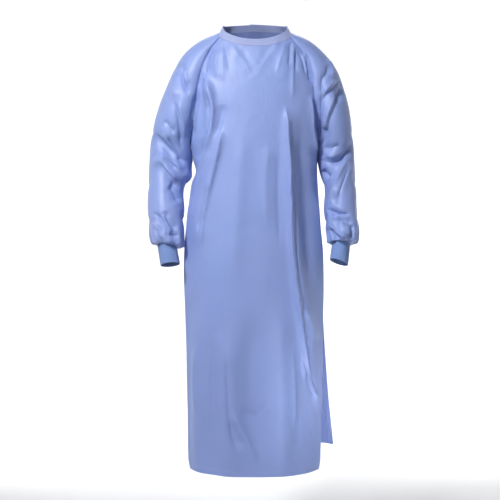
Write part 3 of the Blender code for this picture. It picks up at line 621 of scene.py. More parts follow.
# Weave, slubs, rumpling, knit loops and thread twist, as the materials draw them
WEAVE_PITCH = 0.0006
WEAVE_STRENGTH = 0.10
WEAVE_DEPTH = 0.0001
DRIFT_SCALE = 7.0
SLUB_STRETCH = (900.0, 45.0, 1.0)
SLUB_SHADE = 0.06
RUMPLE_SCALE = 20.0
RUMPLE_STRETCH = (1.0, 1.0, 0.7)
RUMPLE_STRENGTH = 0.40
RUMPLE_DEPTH = 0.006
KNIT_PITCH = 0.0011
KNIT_STRENGTH = 0.35
KNIT_DEPTH = 0.0002
TWIST_SCALE = 900.0
TWIST_STRENGTH = 0.3
TWIST_DEPTH = 0.0001

# Bands of a wave in each metre at scale one, and the sockets of the colours of a mix
BANDS_AT_SCALE_ONE = 3.0
MIX_FIRST = 6
MIX_SECOND = 7
MIX_RESULT = 2

# Finishes: what is the same all over a surface
WOVEN_FINISH = {
    "Specular IOR Level": 0.45,
    "Sheen Roughness": 0.40,
    "Sheen Tint": (0.55, 0.66, 1.0, 1.0),
    "Subsurface Weight": 0.25,
    "Subsurface Radius": (1.0, 1.0, 1.0),
    "Subsurface Scale": 0.003,
}
GOWN_FINISH = {**WOVEN_FINISH, "Roughness": 0.47, "Sheen Weight": 0.22}
BINDING_FINISH = {**WOVEN_FINISH, "Roughness": 0.60, "Sheen Weight": 0.30}
RIB_FINISH = {
    "Roughness": 0.82,
    "Specular IOR Level": 0.2,
    "Sheen Weight": 0.25,
    "Sheen Roughness": 0.5,
}
THREAD_FINISH = {"Roughness": 0.5}
SWEEP_FINISH = {
    "Roughness": 0.9,
    "Emission Color": (1.0, 1.0, 1.0, 1.0),
    "Emission Strength": 0.08,
}

# The camera, and half the width that it sees for each metre of distance
CAMERA_PLACE = (-0.011, -3.2, -0.4935)
CAMERA_TARGET = (-0.011, 0.0, -0.606)
CAMERA_HALF_VIEW = 0.705 / 3.2
SENSOR = 36.0

# The pale sweep and the studio lights
FLOOR_Z = -1.50
SWEEP_RADIUS = 4.4
SWEEP_TOP_Z = 3.2
SWEEP_BEND = 0.9
SWEEP_BEND_STEPS = 8
SWEEP_STEPS = 64
Light = namedtuple("Light", "name place aim size power spread_deg")
LIGHTS = [
    Light("key_light", (-1.2, -2.05, 1.38), (0.0, 0.0, -0.5), 0.45, 13.0, 70.0),
    Light("fill_light", (2.2, -3.0, 0.0), (0.0, 0.0, -0.6), 2.2, 5.0, 180.0),
    Light("flap_light", (0.10, -3.2, -1.0), (0.43, 0.05, -1.00), 0.3, 1.30, 12.0),
    Light("floor_light", (0.0, 2.3, 1.6), (0.0, 1.5, -1.5), 1.6, 38.0, 180.0),
    Light("right_backdrop_light", (-1.7, 1.2, 0.0), (-0.8, 4.4, -0.6), 1.4, 64.0, 180.0),
    Light("left_backdrop_light", (1.7, 1.2, 0.0), (0.8, 4.4, -0.6), 1.4, 64.0, 180.0),
]
WORLD_LIGHT = 0.08
WORLD_TINT = (0.70, 0.80, 1.0, 1.0)


def smooth_step(value):
    value = np.clip(value, 0.0, 1.0)
    return value * value * (3.0 - 2.0 * value)


def mix(low, high, share):
    return low + (high - low) * share


def signed_power(value, power):
    return np.sign(value) * np.abs(value) ** power


def unit(vectors):
    """The same vectors, one metre long."""
    length = np.linalg.norm(vectors, axis=-1, keepdims=True)
    return vectors / np.maximum(length, SHORTEST)


def stack(x, y, z):
    return np.stack(np.broadcast_arrays(x, y, z), axis=-1)


def read_table(rows, at):
    """Read a table whose first column rises, on a smooth curve through its rows."""
    table = np.array(rows)
    keys = table[:, 0]
    at = np.clip(at, keys[0], keys[-1])
    low = np.clip(np.searchsorted(keys, at) - 1, 0, len(keys) - 2)
    high = low + 1
    before = np.maximum(low - 1, 0)
    after = np.minimum(low + 2, len(keys) - 1)
    step = keys[high] - keys[low]
    t = (at - keys[low]) / step
    values = [at]
    for column in table.T[1:]:
        slope_low = (column[high] - column[before]) / (keys[high] - keys[before]) * step
        slope_high = (column[after] - column[low]) / (keys[after] - keys[low]) * step
        values.append(
            (2 * t ** 3 - 3 * t ** 2 + 1) * column[low]
            + (t ** 3 - 2 * t ** 2 + t) * slope_low
            + (3 * t ** 2 - 2 * t ** 3) * column[high]
            + (t ** 3 - t ** 2) * slope_high
        )
    return type(rows[0])(*values)


def body_points(turn_deg, z, swell=0.0, flare=0.0):
    """Points of the worn body. 0 degrees is its right side, 90 the front, 180 the left."""
    section = read_table(BODY, z)
    turn = np.radians(turn_deg)
    middle = (section.right + section.left) / 2
    half_width = (section.left - section.right) / 2 + swell
    depth = np.where(turn_deg > 180.0, section.back, -section.front) + swell
    across = signed_power(np.cos(turn), 2 / SECTION_POWER)
    along = signed_power(np.sin(turn), 2 / SECTION_POWER)
    swing = flare * np.maximum(-across, 0.0) ** FLARE_POWER
    return stack(middle - half_width * across + swing, -depth * along, z)


def yoke_share(row):
    """1 on the neck edge, 0 at the underarm and below it."""
    return np.maximum(1.0 - row / YOKE_ROWS, 0.0)


def panel_height(row, neck_z, hem_z):
    """The height of a panel's row, from its neck edge over the underarm to its hem."""
    upper = mix(UNDERARM_Z, neck_z, yoke_share(row))
    lower = mix(UNDERARM_Z, hem_z, (row - YOKE_ROWS) / SKIRT_ROWS)
    return np.where(row < YOKE_ROWS, upper, lower)


def front_panel_points(across, row):
    """Front panel: across runs from 0 at the right seam to 1 at the left seam."""
    front_deg = read_table(RAGLAN, yoke_share(row)).front_deg
    turn = mix(front_deg, 180.0 - front_deg, across)
    dip = np.sin(math.pi * across) ** NECK_DIP_POWER
    neck_z = mix(NECK_FRONT_SEAM_Z, NECK_FRONT_Z, dip)
    return body_points(turn, panel_height(row, neck_z, FRONT_HEM_Z))


def layer_step(z):
    """How far apart the two back panels lie where both turn round the back."""
    growth = smooth_step((LAYER_TOP_Z - z) / LAYER_GROWTH)
    return mix(NECK_LAYER_STEP, BACK_LAYER_STEP, growth)


def outer_back_layer(turn_deg, z):
    """How far the outer back panel stands off the body, more towards its free edge."""
    return layer_step(z) * (1.0 - smooth_step((turn_deg - OUTER_LAYER_START) / OUTER_LAYER_RUN))


def inner_back_layer(turn_deg, z):
    """How far the inner back panel lies in from the body, after it leaves the left seam."""
    return -layer_step(z) * smooth_step((turn_deg - INNER_LAYER_START) / INNER_LAYER_RUN)


def outer_back_points(across, row):
    """Outer back panel: across runs from 0 at its free edge to 1 at the right seam."""
    from_seam = 1.0 - across
    neck_z = mix(NECK_BACK_SEAM_Z, NECK_BACK_Z, smooth_step(from_seam))
    lift = smooth_step((from_seam - FLAP_LIFT_START) / (1.0 - FLAP_LIFT_START))
    z = panel_height(row, neck_z, mix(FRONT_HEM_Z, FLAP_HEM_Z, lift))
    back_deg = read_table(RAGLAN, yoke_share(row)).back_deg
    turn = mix(read_table(FREE_EDGE, z).outer_deg, 360.0 - back_deg, across)
    return body_points(turn, z, outer_back_layer(turn, z), read_table(FLARE, z).out)


def inner_back_points(across, row):
    """Inner back panel: across runs from 0 at the left seam to 1 at its free edge."""
    neck_z = mix(NECK_BACK_SEAM_Z, NECK_BACK_Z, smooth_step(across))
    z = panel_height(row, neck_z, FRONT_HEM_Z)
    back_deg = read_table(RAGLAN, yoke_share(row)).back_deg
    turn = mix(180.0 + back_deg, read_table(FREE_EDGE, z).inner_deg, across)
    return body_points(turn, z, inner_back_layer(turn, z))


def sleeve_seam_points(share, side):
    """Front and back ends of a sleeve's rows, on the raglan seams. side is -1 right, 1 left."""
    raglan = read_table(RAGLAN, share)
    front_z = mix(UNDERARM_Z, NECK_FRONT_SEAM_Z, share)
    back_z = mix(UNDERARM_Z, NECK_BACK_SEAM_Z, share)
    if side < 0:
        front_turn, back_turn = raglan.front_deg, 360.0 - raglan.back_deg
        layer = outer_back_layer(back_turn, back_z)
    else:
        front_turn, back_turn = 180.0 - raglan.front_deg, 180.0 + raglan.back_deg
        layer = inner_back_layer(back_turn, back_z)
    return body_points(front_turn, front_z), body_points(back_turn, back_z, layer)


def ring_points(start, top, finish, bulge, roundness, around):
    """Sleeve sections, each from its front end over its top line to its back end."""
    turn = 2 * math.pi * around
    end = np.where(around[..., None] <= 0.5, start, finish)
    out = np.abs(np.sin(turn / 2)) ** roundness
    over = 1.0 - np.abs(np.cos(turn / 2)) ** roundness
    return stack(
        mix(end[..., 0], top[..., 0], out),
        mix(end[..., 1], top[..., 1], over) - bulge * np.sin(turn),
        mix(end[..., 2], top[..., 2], out),
    )


def cap_points(table, side, share, around):
    row = read_table(table, share)
    start, finish = sleeve_seam_points(share, side)
    return ring_points(start, stack(row.x, row.y, row.z), finish, row.bulge, row.roundness, around)


def tube_points(row, around):
    """Closed sections of a sleeve or cuff, tilted so that the front stands higher."""
    inner = stack(row.in_x, row.y, row.in_z)
    outer = stack(row.out_x, row.y, row.out_z)
    points = ring_points(inner, outer, inner, row.half_depth, TUBE_ROUNDNESS, around)
    points[..., 2] -= row.tilt * (points[..., 1] - row.y)
    return points


def gathered(points, row, share, around):
    """Push the sleeve in or out where it is gathered into its cuff."""
    turn = 2 * math.pi * around
    middle = stack((row.in_x + row.out_x) / 2, row.y, points[..., 2])
    away = unit(points - middle)
    for gather in GATHERS:
        strength = smooth_step((share - gather.start) / gather.fade_in)
        strength = strength * smooth_step((1.0 - share) / gather.fade_out)
        wave = np.cos(gather.waves * turn + gather.drift * np.sin(turn + gather.phase))
        points = points + away * (gather.height * strength * wave)[..., None]
    return points


class Cloth:
    """One piece of cloth as rows of points. closed_from is the first row that closes on itself."""

    def __init__(self, name, points, faces_out, closed_from=None):
        self.name = name
        self.points = points
        self.faces_out = faces_out
        self.closed_from = closed_from
        self.normals = np.zeros_like(points)
        if closed_from is not None:
            points[closed_from:, -1] = points[closed_from:, 0]

    def face_normals(self):
        """Outward normals of the two triangles of each cell, as long as their areas."""
        p = self.points
        first = np.cross(p[1:, :-1] - p[:-1, :-1], p[1:, 1:] - p[:-1, :-1])
        second = np.cross(p[1:, 1:] - p[:-1, :-1], p[:-1, 1:] - p[:-1, :-1])
        turn = 1.0 if self.faces_out else -1.0
        return first * turn, second * turn

    def raw_normals(self):
        first, second = self.face_normals()
        total = np.zeros_like(self.points)
        total[:-1, :-1] += first + second
        total[1:, 1:] += first + second
        total[1:, :-1] += first
        total[:-1, 1:] += second
        return total

    def distances(self):
        """How far each point lies from the piece's first and last column and last row."""
        across = np.linalg.norm(np.diff(self.points, axis=1), axis=-1)
        from_first = np.concatenate([np.zeros((len(across), 1)), np.cumsum(across, axis=1)], 1)
        down = np.linalg.norm(np.diff(self.points, axis=0), axis=-1)
        from_top = np.concatenate([np.zeros((1, down.shape[1])), np.cumsum(down, axis=0)], 0)
        return (from_first, from_first[:, -1:] - from_first,
                from_top, from_top[-1:] - from_top)


def share_normals(cloths):
    """Give points that lie on one seam the same outward direction in all their pieces."""
    places = np.concatenate([c.points.reshape(-1, 3) for c in cloths])
    raw = np.concatenate([c.raw_normals().reshape(-1, 3) for c in cloths])
    _, group = np.unique(np.round(places, SEAM_DECIMALS), axis=0, return_inverse=True)
    group = group.reshape(-1)
    total = np.stack([np.bincount(group, raw[:, axis]) for axis in range(3)], axis=1)
    shared = unit(total)[group]
    start = 0
    for cloth in cloths:
        count = cloth.points.shape[0] * cloth.points.shape[1]
        cloth.normals = shared[start:start + count].reshape(cloth.points.shape)
        start += count


def fold_profile(u, z, fold, crest):
    """1 on the line of a fold, fading to 0 past its width and past its ends.

    A crest of 0 gives the rounded profile of a broad fold, and another value the radius of a
    sharper one.
    """
    nearest = np.full(u.shape, np.inf)
    side = np.zeros(u.shape)
    reach = np.zeros(u.shape)
    run = 0.0
    path = [(across * MM, up * MM) for across, up in fold.path]
    for (u0, z0), (u1, z1) in zip(path, path[1:]):
        length = math.dist((u0, z0), (u1, z1))
        du, dz = (u1 - u0) / length, (z1 - z0) / length
        held = np.clip((u - u0) * du + (z - z0) * dz, 0.0, length)
        gap = np.hypot(u - u0 - held * du, z - z0 - held * dz)
        closer = gap < nearest
        nearest = np.where(closer, gap, nearest)
        side = np.where(closer, np.sign((u - u0) * dz - (z - z0) * du), side)
        reach = np.where(closer, run + held, reach)
        run += length
    fade = min(FOLD_END_FADE * run, CREASE_END_FADE if crest else run)
    ends = smooth_step(reach / fade) * smooth_step((run - reach) / fade)
    width = fold.width * MM * (1.0 + fold.lean * side)
    if crest:
        return ends * np.exp((crest - np.hypot(nearest, crest)) / width)
    return ends * np.exp(-(nearest / width) ** 2)


def raise_folds(cloths, folds, depth=1.0, crest=0.0):
    """Move the cloth out along its own normals by the height of the folds that it carries."""
    share_normals(cloths)
    for cloth in cloths:
        p, n = cloth.points, cloth.normals
        facing = {"front": -n[..., 1], "back": n[..., 1], "right": -n[..., 0], "left": n[..., 0]}
        total = np.zeros(p.shape[:2])
        for fold in folds:
            along = p[..., 0] if fold.facing in ("front", "back") else p[..., 1]
            weight = smooth_step(facing[fold.facing] / FOLD_FACING)
            profile = fold_profile(along, p[..., 2], fold, crest)
            total += weight * fold.height * MM * depth * profile
        cloth.points = p + n * total[..., None]
    share_normals(cloths)


def press_seams(cloth, first_column, last_column):
    """Press the cloth in along the seams of its first and last columns."""
    from_first, from_last, _, _ = cloth.distances()
    pucker = 1.0 + PUCKER_SHARE * np.sin(2 * math.pi * cloth.points[..., 2] / PUCKER_LENGTH)
    depth = np.zeros(from_first.shape)
    if first_column:
        depth += np.exp(-(from_first / SEAM_WIDTH) ** 2)
    if last_column:
        depth += np.exp(-(from_last / SEAM_WIDTH) ** 2)
    depth = np.minimum(depth, 1.0)
    cloth.points = cloth.points - cloth.normals * (SEAM_DEPTH * pucker * depth)[..., None]


def turn_hem(cloth, distance):
    """Stand the turned edge of a hem proud of the cloth, up to its stitching."""
    rise = HEM_RISE * smooth_step((HEM_WIDTH - distance) / HEM_ROLL)
    cloth.points = cloth.points + cloth.normals * rise[..., None]


def open_seams(cloth):
    """Draw each edge of a piece in by half the seam gap, so that no two pieces touch."""
    p = cloth.points.copy()
    rows = slice(0, cloth.closed_from)
    p[rows, 0] += unit(cloth.points[rows, 1] - cloth.points[rows, 0]) * (SEAM_GAP / 2)
    p[rows, -1] += unit(cloth.points[rows, -2] - cloth.points[rows, -1]) * (SEAM_GAP / 2)
    p[0] += unit(cloth.points[1] - cloth.points[0]) * (SEAM_GAP / 2)
    p[-1] += unit(cloth.points[-2] - cloth.points[-1]) * (SEAM_GAP / 2)
    cloth.points = p


def finer(shares, split):
    """Divide each step of a list of shares, and the first and last steps more finely."""
    fine = [shares[0]]
    for i, (low, high) in enumerate(zip(shares, shares[1:])):
        count = split * (EDGE_SPLIT if i in (0, len(shares) - 2) else 1)
        fine += [mix(low, high, (k + 1) / count) for k in range(count)]
    return np.array(fine)


def even_shares(count):
    return [i / count for i in range(count + 1)]


def outer_back_shares():
    """Two narrow columns carry the flap's facing, and the rest are even."""
    first = FACING_WIDTH / 2 / FLAP_PANEL_WIDTH
    rest = OUTER_BACK_COLUMNS - 2
    return [0.0, first] + [mix(2 * first, 1.0, i / rest) for i in range(rest + 1)]


def panel_rows():
    yoke = np.linspace(0, YOKE_ROWS, YOKE_ROWS * YOKE_SPLIT + 1)
    skirt = np.linspace(YOKE_ROWS, YOKE_ROWS + SKIRT_ROWS, SKIRT_ROWS * SKIRT_SPLIT + 1)
    return np.concatenate([yoke, skirt[1:]])[:, None]


def make_panel(name, points_of, shares):
    across = finer(shares, PANEL_SPLIT)[None, :]
    return Cloth(name, points_of(across, panel_rows()), True)


def make_sleeve(name, cap_table, tube_table, side):
    around = finer(even_shares(SLEEVE_COLUMNS), SLEEVE_SPLIT)[None, :]
    cap_share = np.linspace(1.0, 0.0, YOKE_ROWS * YOKE_SPLIT + 1)[:, None]
    cap = cap_points(cap_table, side, cap_share, around)
    tube_share = np.linspace(0.0, 1.0, SLEEVE_TUBE_ROWS + 1)[1:, None]
    section = read_table(tube_table, tube_share)
    tube = gathered(tube_points(section, around), section, tube_share, around)
    return Cloth(name, np.concatenate([cap, tube]), side > 0, len(cap_share) - 1)


def make_cuff(name, tube_table, end, side):
    around = np.linspace(0.0, 1.0, CUFF_COLUMNS + 1)[None, :]
    share = np.linspace(0.0, 1.0, CUFF_ROWS + 1)[:, None]
    section = Tube(*(mix(a, b, share) for a, b in zip(tube_table[-1], end)))
    return Cloth(name, tube_points(section, around), side > 0, 0)


def neckline(pieces):
    """The neck edge of all pieces in order, from the inner back end round to the outer end."""
    rows = [
        pieces["back_inner_cloth"].points[0, ::-1],
        pieces["sleeve_left_cloth"].points[0, ::-1][1:],
        pieces["front_cloth"].points[0, ::-1][1:],
        pieces["sleeve_right_cloth"].points[0][1:],
        pieces["back_outer_cloth"].points[0, ::-1][1:],
    ]
    return np.concatenate(rows)


def evened(line, reach):
    """The same line of points, with what is shorter than the reach smoothed out of it."""
    run = np.concatenate([[0.0], np.cumsum(np.linalg.norm(np.diff(line, axis=0), axis=1))])
    whole = np.concatenate([2 * line[0] - line[:0:-1], line, 2 * line[-1] - line[-2::-1]])
    along = np.concatenate([-run[:0:-1], run, 2 * run[-1] - run[-2::-1]])
    near = np.exp(-((run[:, None] - along) / reach) ** 2) * np.gradient(along)
    return near @ whole / near.sum(axis=1, keepdims=True)


def make_binding(line):
    """The band stands up from the neck edge, leans in a little and has an even top edge."""
    even = evened(line, BINDING_EVEN_REACH)
    inward = np.array([*BINDING_MIDDLE, 0.0]) - even
    inward[:, 2] = 0.0
    lean = unit(inward) * BINDING_LEAN + np.array([0.0, 0.0, BINDING_HEIGHT])
    share = np.linspace(1.0, 0.0, BINDING_ROWS + 1)[:, None, None]
    return Cloth("neck_band", mix(line, even, smooth_step(share)) + lean * share, False)


def measured_map(cloth):
    """Lay the piece out flat: distance across and down, in metres, for the weave."""
    from_first, _, from_top, _ = cloth.distances()
    middle = from_first[:, -1:] / 2
    return np.stack([from_first - middle, -from_top], axis=-1)


def shell_faces(cloth):
    """Cells of the outer face, the same cells of the inner face, and the rim between them."""
    rows, columns = cloth.points.shape[:2]
    count = rows * columns
    index = np.arange(count).reshape(rows, columns)
    if cloth.closed_from is not None:
        index[cloth.closed_from:, -1] = index[cloth.closed_from:, 0]
    cells = np.stack([index[:-1, :-1], index[1:, :-1], index[1:, 1:], index[:-1, 1:]], axis=-1)
    cells = cells.reshape(-1, 4)
    if not cloth.faces_out:
        cells = cells[:, ::-1]
    edges = dict.fromkeys(
        edge for cell in cells.tolist() for edge in zip(cell, cell[1:] + cell[:1]))
    rim = [(b, a, a + count, b + count)
           for a, b in edges if (b, a) not in edges and a != b]
    return np.concatenate([cells, cells[:, ::-1] + count, np.array(rim)])


def shell_mesh(cloth, thickness, material, proud):
    """One closed thin shell, whose outer face stands proud of the piece's own points."""
    outer = cloth.points + cloth.normals * proud
    inner = outer - cloth.normals * thickness
    mesh = bpy.data.meshes.new(cloth.name)
    places = np.concatenate([outer.reshape(-1, 3), inner.reshape(-1, 3)])
    mesh.from_pydata(places.tolist(), [], shell_faces(cloth).tolist())
    flat = measured_map(cloth).reshape(-1, 2)
    flat = np.concatenate([flat, flat])
    layer = mesh.uv_layers.new(name="cloth_map")
    corners = np.empty(len(mesh.loops), int)
    mesh.loops.foreach_get("vertex_index", corners)
    layer.data.foreach_set("uv", flat[corners].ravel())
    mesh.materials.append(material)
    mesh.validate()
    tidy_mesh(mesh)
    return mesh


def tidy_mesh(mesh):
    """Drop the unused points, and shade the shell smooth with a crisp rim."""
    work = bmesh.new()
    work.from_mesh(mesh)
    loose = [v for v in work.verts if not v.link_faces]
    bmesh.ops.delete(work, geom=loose, context="VERTS")
    work.to_mesh(mesh)
    work.free()
    mesh.shade_smooth()
    mesh.set_sharp_from_angle(angle=math.radians(SHARP_RIM_DEG))


def show(name, mesh):
    thing = bpy.data.objects.new(name, mesh)
    bpy.context.scene.collection.objects.link(thing)
    return thing


def add_node(tree, kind, inputs=None, **settings):
    """A node with its settings. Each input named gets a value, or the output that it reads."""
    node = tree.nodes.new(kind)
    for name, value in settings.items():
        setattr(node, name, value)
    for name, value in (inputs or {}).items():
        if isinstance(value, bpy.types.NodeSocket):
            tree.links.new(value, node.inputs[name])
        else:
            node.inputs[name].default_value = value
    return node


def new_material(name, colour, finish):
    """A material of one colour, with the finish that is the same all over its surface."""
    material = bpy.data.materials.new(name)
    material.use_nodes = True
    shader = material.node_tree.nodes["Principled BSDF"]
    shader.inputs["Base Color"].default_value = colour
    for socket, value in finish.items():
        shader.inputs[socket].default_value = value
    return material, material.node_tree, shader


def object_place(tree):
    return add_node(tree, "ShaderNodeTexCoord").outputs["Object"]


def flat_place(tree):
    """The place on the piece as it was cut flat."""
    return add_node(tree, "ShaderNodeUVMap", uv_map="cloth_map").outputs["UV"]


def stretched(tree, place, scale):
    mapping = add_node(tree, "ShaderNodeMapping", {"Vector": place, "Scale": scale})
    return mapping.outputs["Vector"]


def noise(tree, place, scale, detail=2.0, distortion=0.0):
    pattern = add_node(tree, "ShaderNodeTexNoise", {
        "Vector": place, "Scale": scale, "Detail": detail, "Distortion": distortion})
    return pattern.outputs["Fac"]


def threads_across(tree, place, direction, pitch):
    """Threads that lie side by side, one every pitch, across one direction of the map."""
    scale = 1.0 / pitch / BANDS_AT_SCALE_ONE
    wave = add_node(tree, "ShaderNodeTexWave", {
        "Vector": place, "Scale": scale, "Distortion": 0.0,
    }, wave_type="BANDS", bands_direction=direction, wave_profile="SIN")
    return wave.outputs["Fac"]


def relief(tree, height, strength, depth, over=None):
    """Fine relief in the surface, laid over a coarser one where that is given."""
    inputs = {"Height": height, "Strength": strength, "Distance": depth}
    if over is not None:
        inputs["Normal"] = over
    return add_node(tree, "ShaderNodeBump", inputs).outputs["Normal"]


def mixed(tree, share, first, second, blend="MIX"):
    node = add_node(tree, "ShaderNodeMix", {
        "Factor": share, MIX_FIRST: first, MIX_SECOND: second,
    }, data_type="RGBA", blend_type=blend)
    return node.outputs[MIX_RESULT]


def worked_out(tree, operation, *values):
    node = add_node(tree, "ShaderNodeMath", dict(enumerate(values)), operation=operation)
    return node.outputs["Value"]


def woven_material(name, first, second, finish):
    """Plain weave with a soft satin sheen, and a slow drift between two shades."""
    material, tree, shader = new_material(name, first, finish)
    place, flat = object_place(tree), flat_place(tree)
    shades = mixed(tree, noise(tree, place, DRIFT_SCALE, 3.0), first, second)
    slubs = noise(tree, stretched(tree, flat, SLUB_STRETCH), 1.0)
    streaked = mixed(tree, SLUB_SHADE, shades, slubs, "MULTIPLY")
    threads = worked_out(tree, "MULTIPLY", threads_across(tree, flat, "X", WEAVE_PITCH),
                         threads_across(tree, flat, "Y", WEAVE_PITCH))
    rumple = noise(tree, stretched(tree, place, RUMPLE_STRETCH), RUMPLE_SCALE, 2.5, 0.6)
    wrinkles = relief(tree, rumple, RUMPLE_STRENGTH, RUMPLE_DEPTH)
    weave = relief(tree, threads, WEAVE_STRENGTH, WEAVE_DEPTH, wrinkles)
    tree.links.new(streaked, shader.inputs["Base Color"])
    tree.links.new(weave, shader.inputs["Normal"])
    return material


def knit_material():
    """Matte rib knit: small loops down each rib, with painted shade darkening the colour between the loops."""
    material, tree, shader = new_material("rib_knit", RIB_BLUE, RIB_FINISH)
    loops = threads_across(tree, flat_place(tree), "Y", KNIT_PITCH)
    # Painted shade: the colour darkens where the loops dip, as if shade fell between them
    shades = mixed(tree, loops, RIB_PAINTED_SHADE, RIB_BLUE)
    loop_relief = relief(tree, loops, KNIT_STRENGTH, KNIT_DEPTH)
    tree.links.new(shades, shader.inputs["Base Color"])
    tree.links.new(loop_relief, shader.inputs["Normal"])
    return material


def thread_material():
    """Twisted polyester thread, a little lighter than the cloth."""
    material, tree, shader = new_material("sewing_thread", THREAD_BLUE, THREAD_FINISH)
    twist = noise(tree, object_place(tree), TWIST_SCALE)
    twist_relief = relief(tree, twist, TWIST_STRENGTH, TWIST_DEPTH)
    tree.links.new(twist_relief, shader.inputs["Normal"])
    return material


def new_tree(name, sizes):
    """A geometry tree with one geometry in, one out, and a named input for each size."""
    tree = bpy.data.node_groups.new(name, "GeometryNodeTree")
    tree.interface.new_socket("Geometry", in_out="INPUT", socket_type="NodeSocketGeometry")
    sockets = {}
    for size in sizes:
        sockets[size] = tree.interface.new_socket(
            size, in_out="INPUT", socket_type="NodeSocketFloat")
    tree.interface.new_socket("Geometry", in_out="OUTPUT", socket_type="NodeSocketGeometry")
    return tree, sockets, add_node(tree, "NodeGroupInput").outputs


def end_tree(tree, geometry, material):
    """End in plain geometry with its material."""
    real = add_node(tree, "GeometryNodeRealizeInstances", {"Geometry": geometry})
    painted = add_node(tree, "GeometryNodeSetMaterial", {
        "Geometry": real.outputs["Geometry"], "Material": material})
    add_node(tree, "NodeGroupOutput", {"Geometry": painted.outputs["Geometry"]})


def stitch_tree(material):
    """A stitch at every pitch along the lines that come in, each laid along its line."""
    tree, sockets, given = new_tree(
        "stitches", ["Stitch Pitch", "Stitch Length", "Thread Thickness"])
    line = add_node(tree, "GeometryNodeMeshToCurve", {"Mesh": given["Geometry"]})
    spots = add_node(tree, "GeometryNodeCurveToPoints", {
        "Curve": line.outputs["Curve"], "Length": given["Stitch Pitch"]}, mode="LENGTH")
    stitch = add_node(tree, "GeometryNodeMeshUVSphere", {
        "Segments": STITCH_SIDES, "Rings": STITCH_RINGS, "Radius": 0.5})
    size = add_node(tree, "ShaderNodeCombineXYZ", {
        "X": given["Thread Thickness"],
        "Y": given["Thread Thickness"],
        "Z": given["Stitch Length"],
    })
    spread = add_node(tree, "GeometryNodeInstanceOnPoints", {
        "Points": spots.outputs["Points"],
        "Instance": stitch.outputs["Mesh"],
        "Rotation": spots.outputs["Rotation"],
        "Scale": size.outputs["Vector"],
    })
    end_tree(tree, spread.outputs["Instances"], material)
    return tree, sockets


def rib_tree(material):
    """Ribs that run down a knit tube: it is pushed in and out by turns round the tube."""
    tree, sockets, given = new_tree("knit_ribs", ["Rib Count", "Rib Height"])
    around = add_node(tree, "GeometryNodeInputNamedAttribute", {"Name": "around"},
                      data_type="FLOAT").outputs["Attribute"]
    turns = worked_out(tree, "MULTIPLY", around, given["Rib Count"])
    angle = worked_out(tree, "MULTIPLY", turns, 2 * math.pi)
    wave = worked_out(tree, "COSINE", angle)
    height = worked_out(tree, "MULTIPLY", wave, given["Rib Height"])
    normal = add_node(tree, "GeometryNodeInputNormal").outputs["Normal"]
    push = add_node(tree, "ShaderNodeVectorMath", {0: normal, "Scale": height},
                    operation="SCALE")
    move = add_node(tree, "GeometryNodeSetPosition", {
        "Geometry": given["Geometry"], "Offset": push.outputs["Vector"]})
    end_tree(tree, move.outputs["Geometry"], material)
    return tree, sockets


def run_tree(name, base, tree, sockets, sizes):
    """Run a geometry tree on a mesh and keep its result as a plain mesh."""
    thing = show(name, base)
    modifier = thing.modifiers.new("shape", "NODES")
    modifier.node_group = tree
    for size, value in sizes.items():
        modifier[sockets[size].identifier] = value
    ready = thing.evaluated_get(bpy.context.evaluated_depsgraph_get())
    made = bpy.data.meshes.new_from_object(ready)
    thing.modifiers.clear()
    thing.data = made
    made.name = name
    return thing


def lines_mesh(name, lines):
    """Plain edges along each line of points."""
    places, edges = [], []
    for line in lines:
        start = len(places)
        places += [tuple(point) for point in line]
        edges += [(start + i, start + i + 1) for i in range(len(line) - 1)]
    mesh = bpy.data.meshes.new(name)
    mesh.from_pydata(places, edges, [])
    return mesh


def make_stitches(name, lines, tree, sockets, slot):
    thing = run_tree(name, lines_mesh(name, lines), tree, sockets, {
        "Stitch Pitch": STITCH_PITCH,
        "Stitch Length": STITCH_LENGTH,
        "Thread Thickness": THREAD,
    })
    thing.data.shade_smooth()
    return ride_and_slot(thing, slot)


def row_line(cloth, distance):
    """A line across a piece at one distance above its last row, on the outer face."""
    _, _, _, from_end = cloth.distances()
    row = int(np.argmin(np.abs(np.median(from_end, axis=1) - distance)))
    return cloth.points[row]


def column_line(cloth, share, rows, proud):
    """A line down a piece at one share of its width, as far out from it as proud says."""
    from_first, _, _, _ = cloth.distances()
    line = []
    for row in rows:
        target = from_first[row, -1] * share
        place = [np.interp(target, from_first[row], cloth.points[row, :, axis])
                 for axis in range(3)]
        normal = [np.interp(target, from_first[row], cloth.normals[row, :, axis])
                  for axis in range(3)]
        line.append(np.array(place) + np.array(normal) * proud)
    return np.array(line)


def ride_and_slot(thing, slot, *nodes):
    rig.ride(thing, "root")
    if nodes:
        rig.replaces(thing, *nodes)
    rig.slot(thing, slot)
    return thing


def make_camera():
    data = bpy.data.cameras.new("photo_camera")
    data.sensor_width = SENSOR
    data.lens = SENSOR / 2 / CAMERA_HALF_VIEW
    camera = bpy.data.objects.new("photo_camera", data)
    camera.location = CAMERA_PLACE
    aim(camera, CAMERA_PLACE, CAMERA_TARGET)
    bpy.context.scene.collection.objects.link(camera)
    bpy.context.scene.camera = camera


def aim(thing, place, target):
    look = Vector(target) - Vector(place)
    thing.rotation_mode = "QUATERNION"
    thing.rotation_quaternion = look.to_track_quat("-Z", "Y")


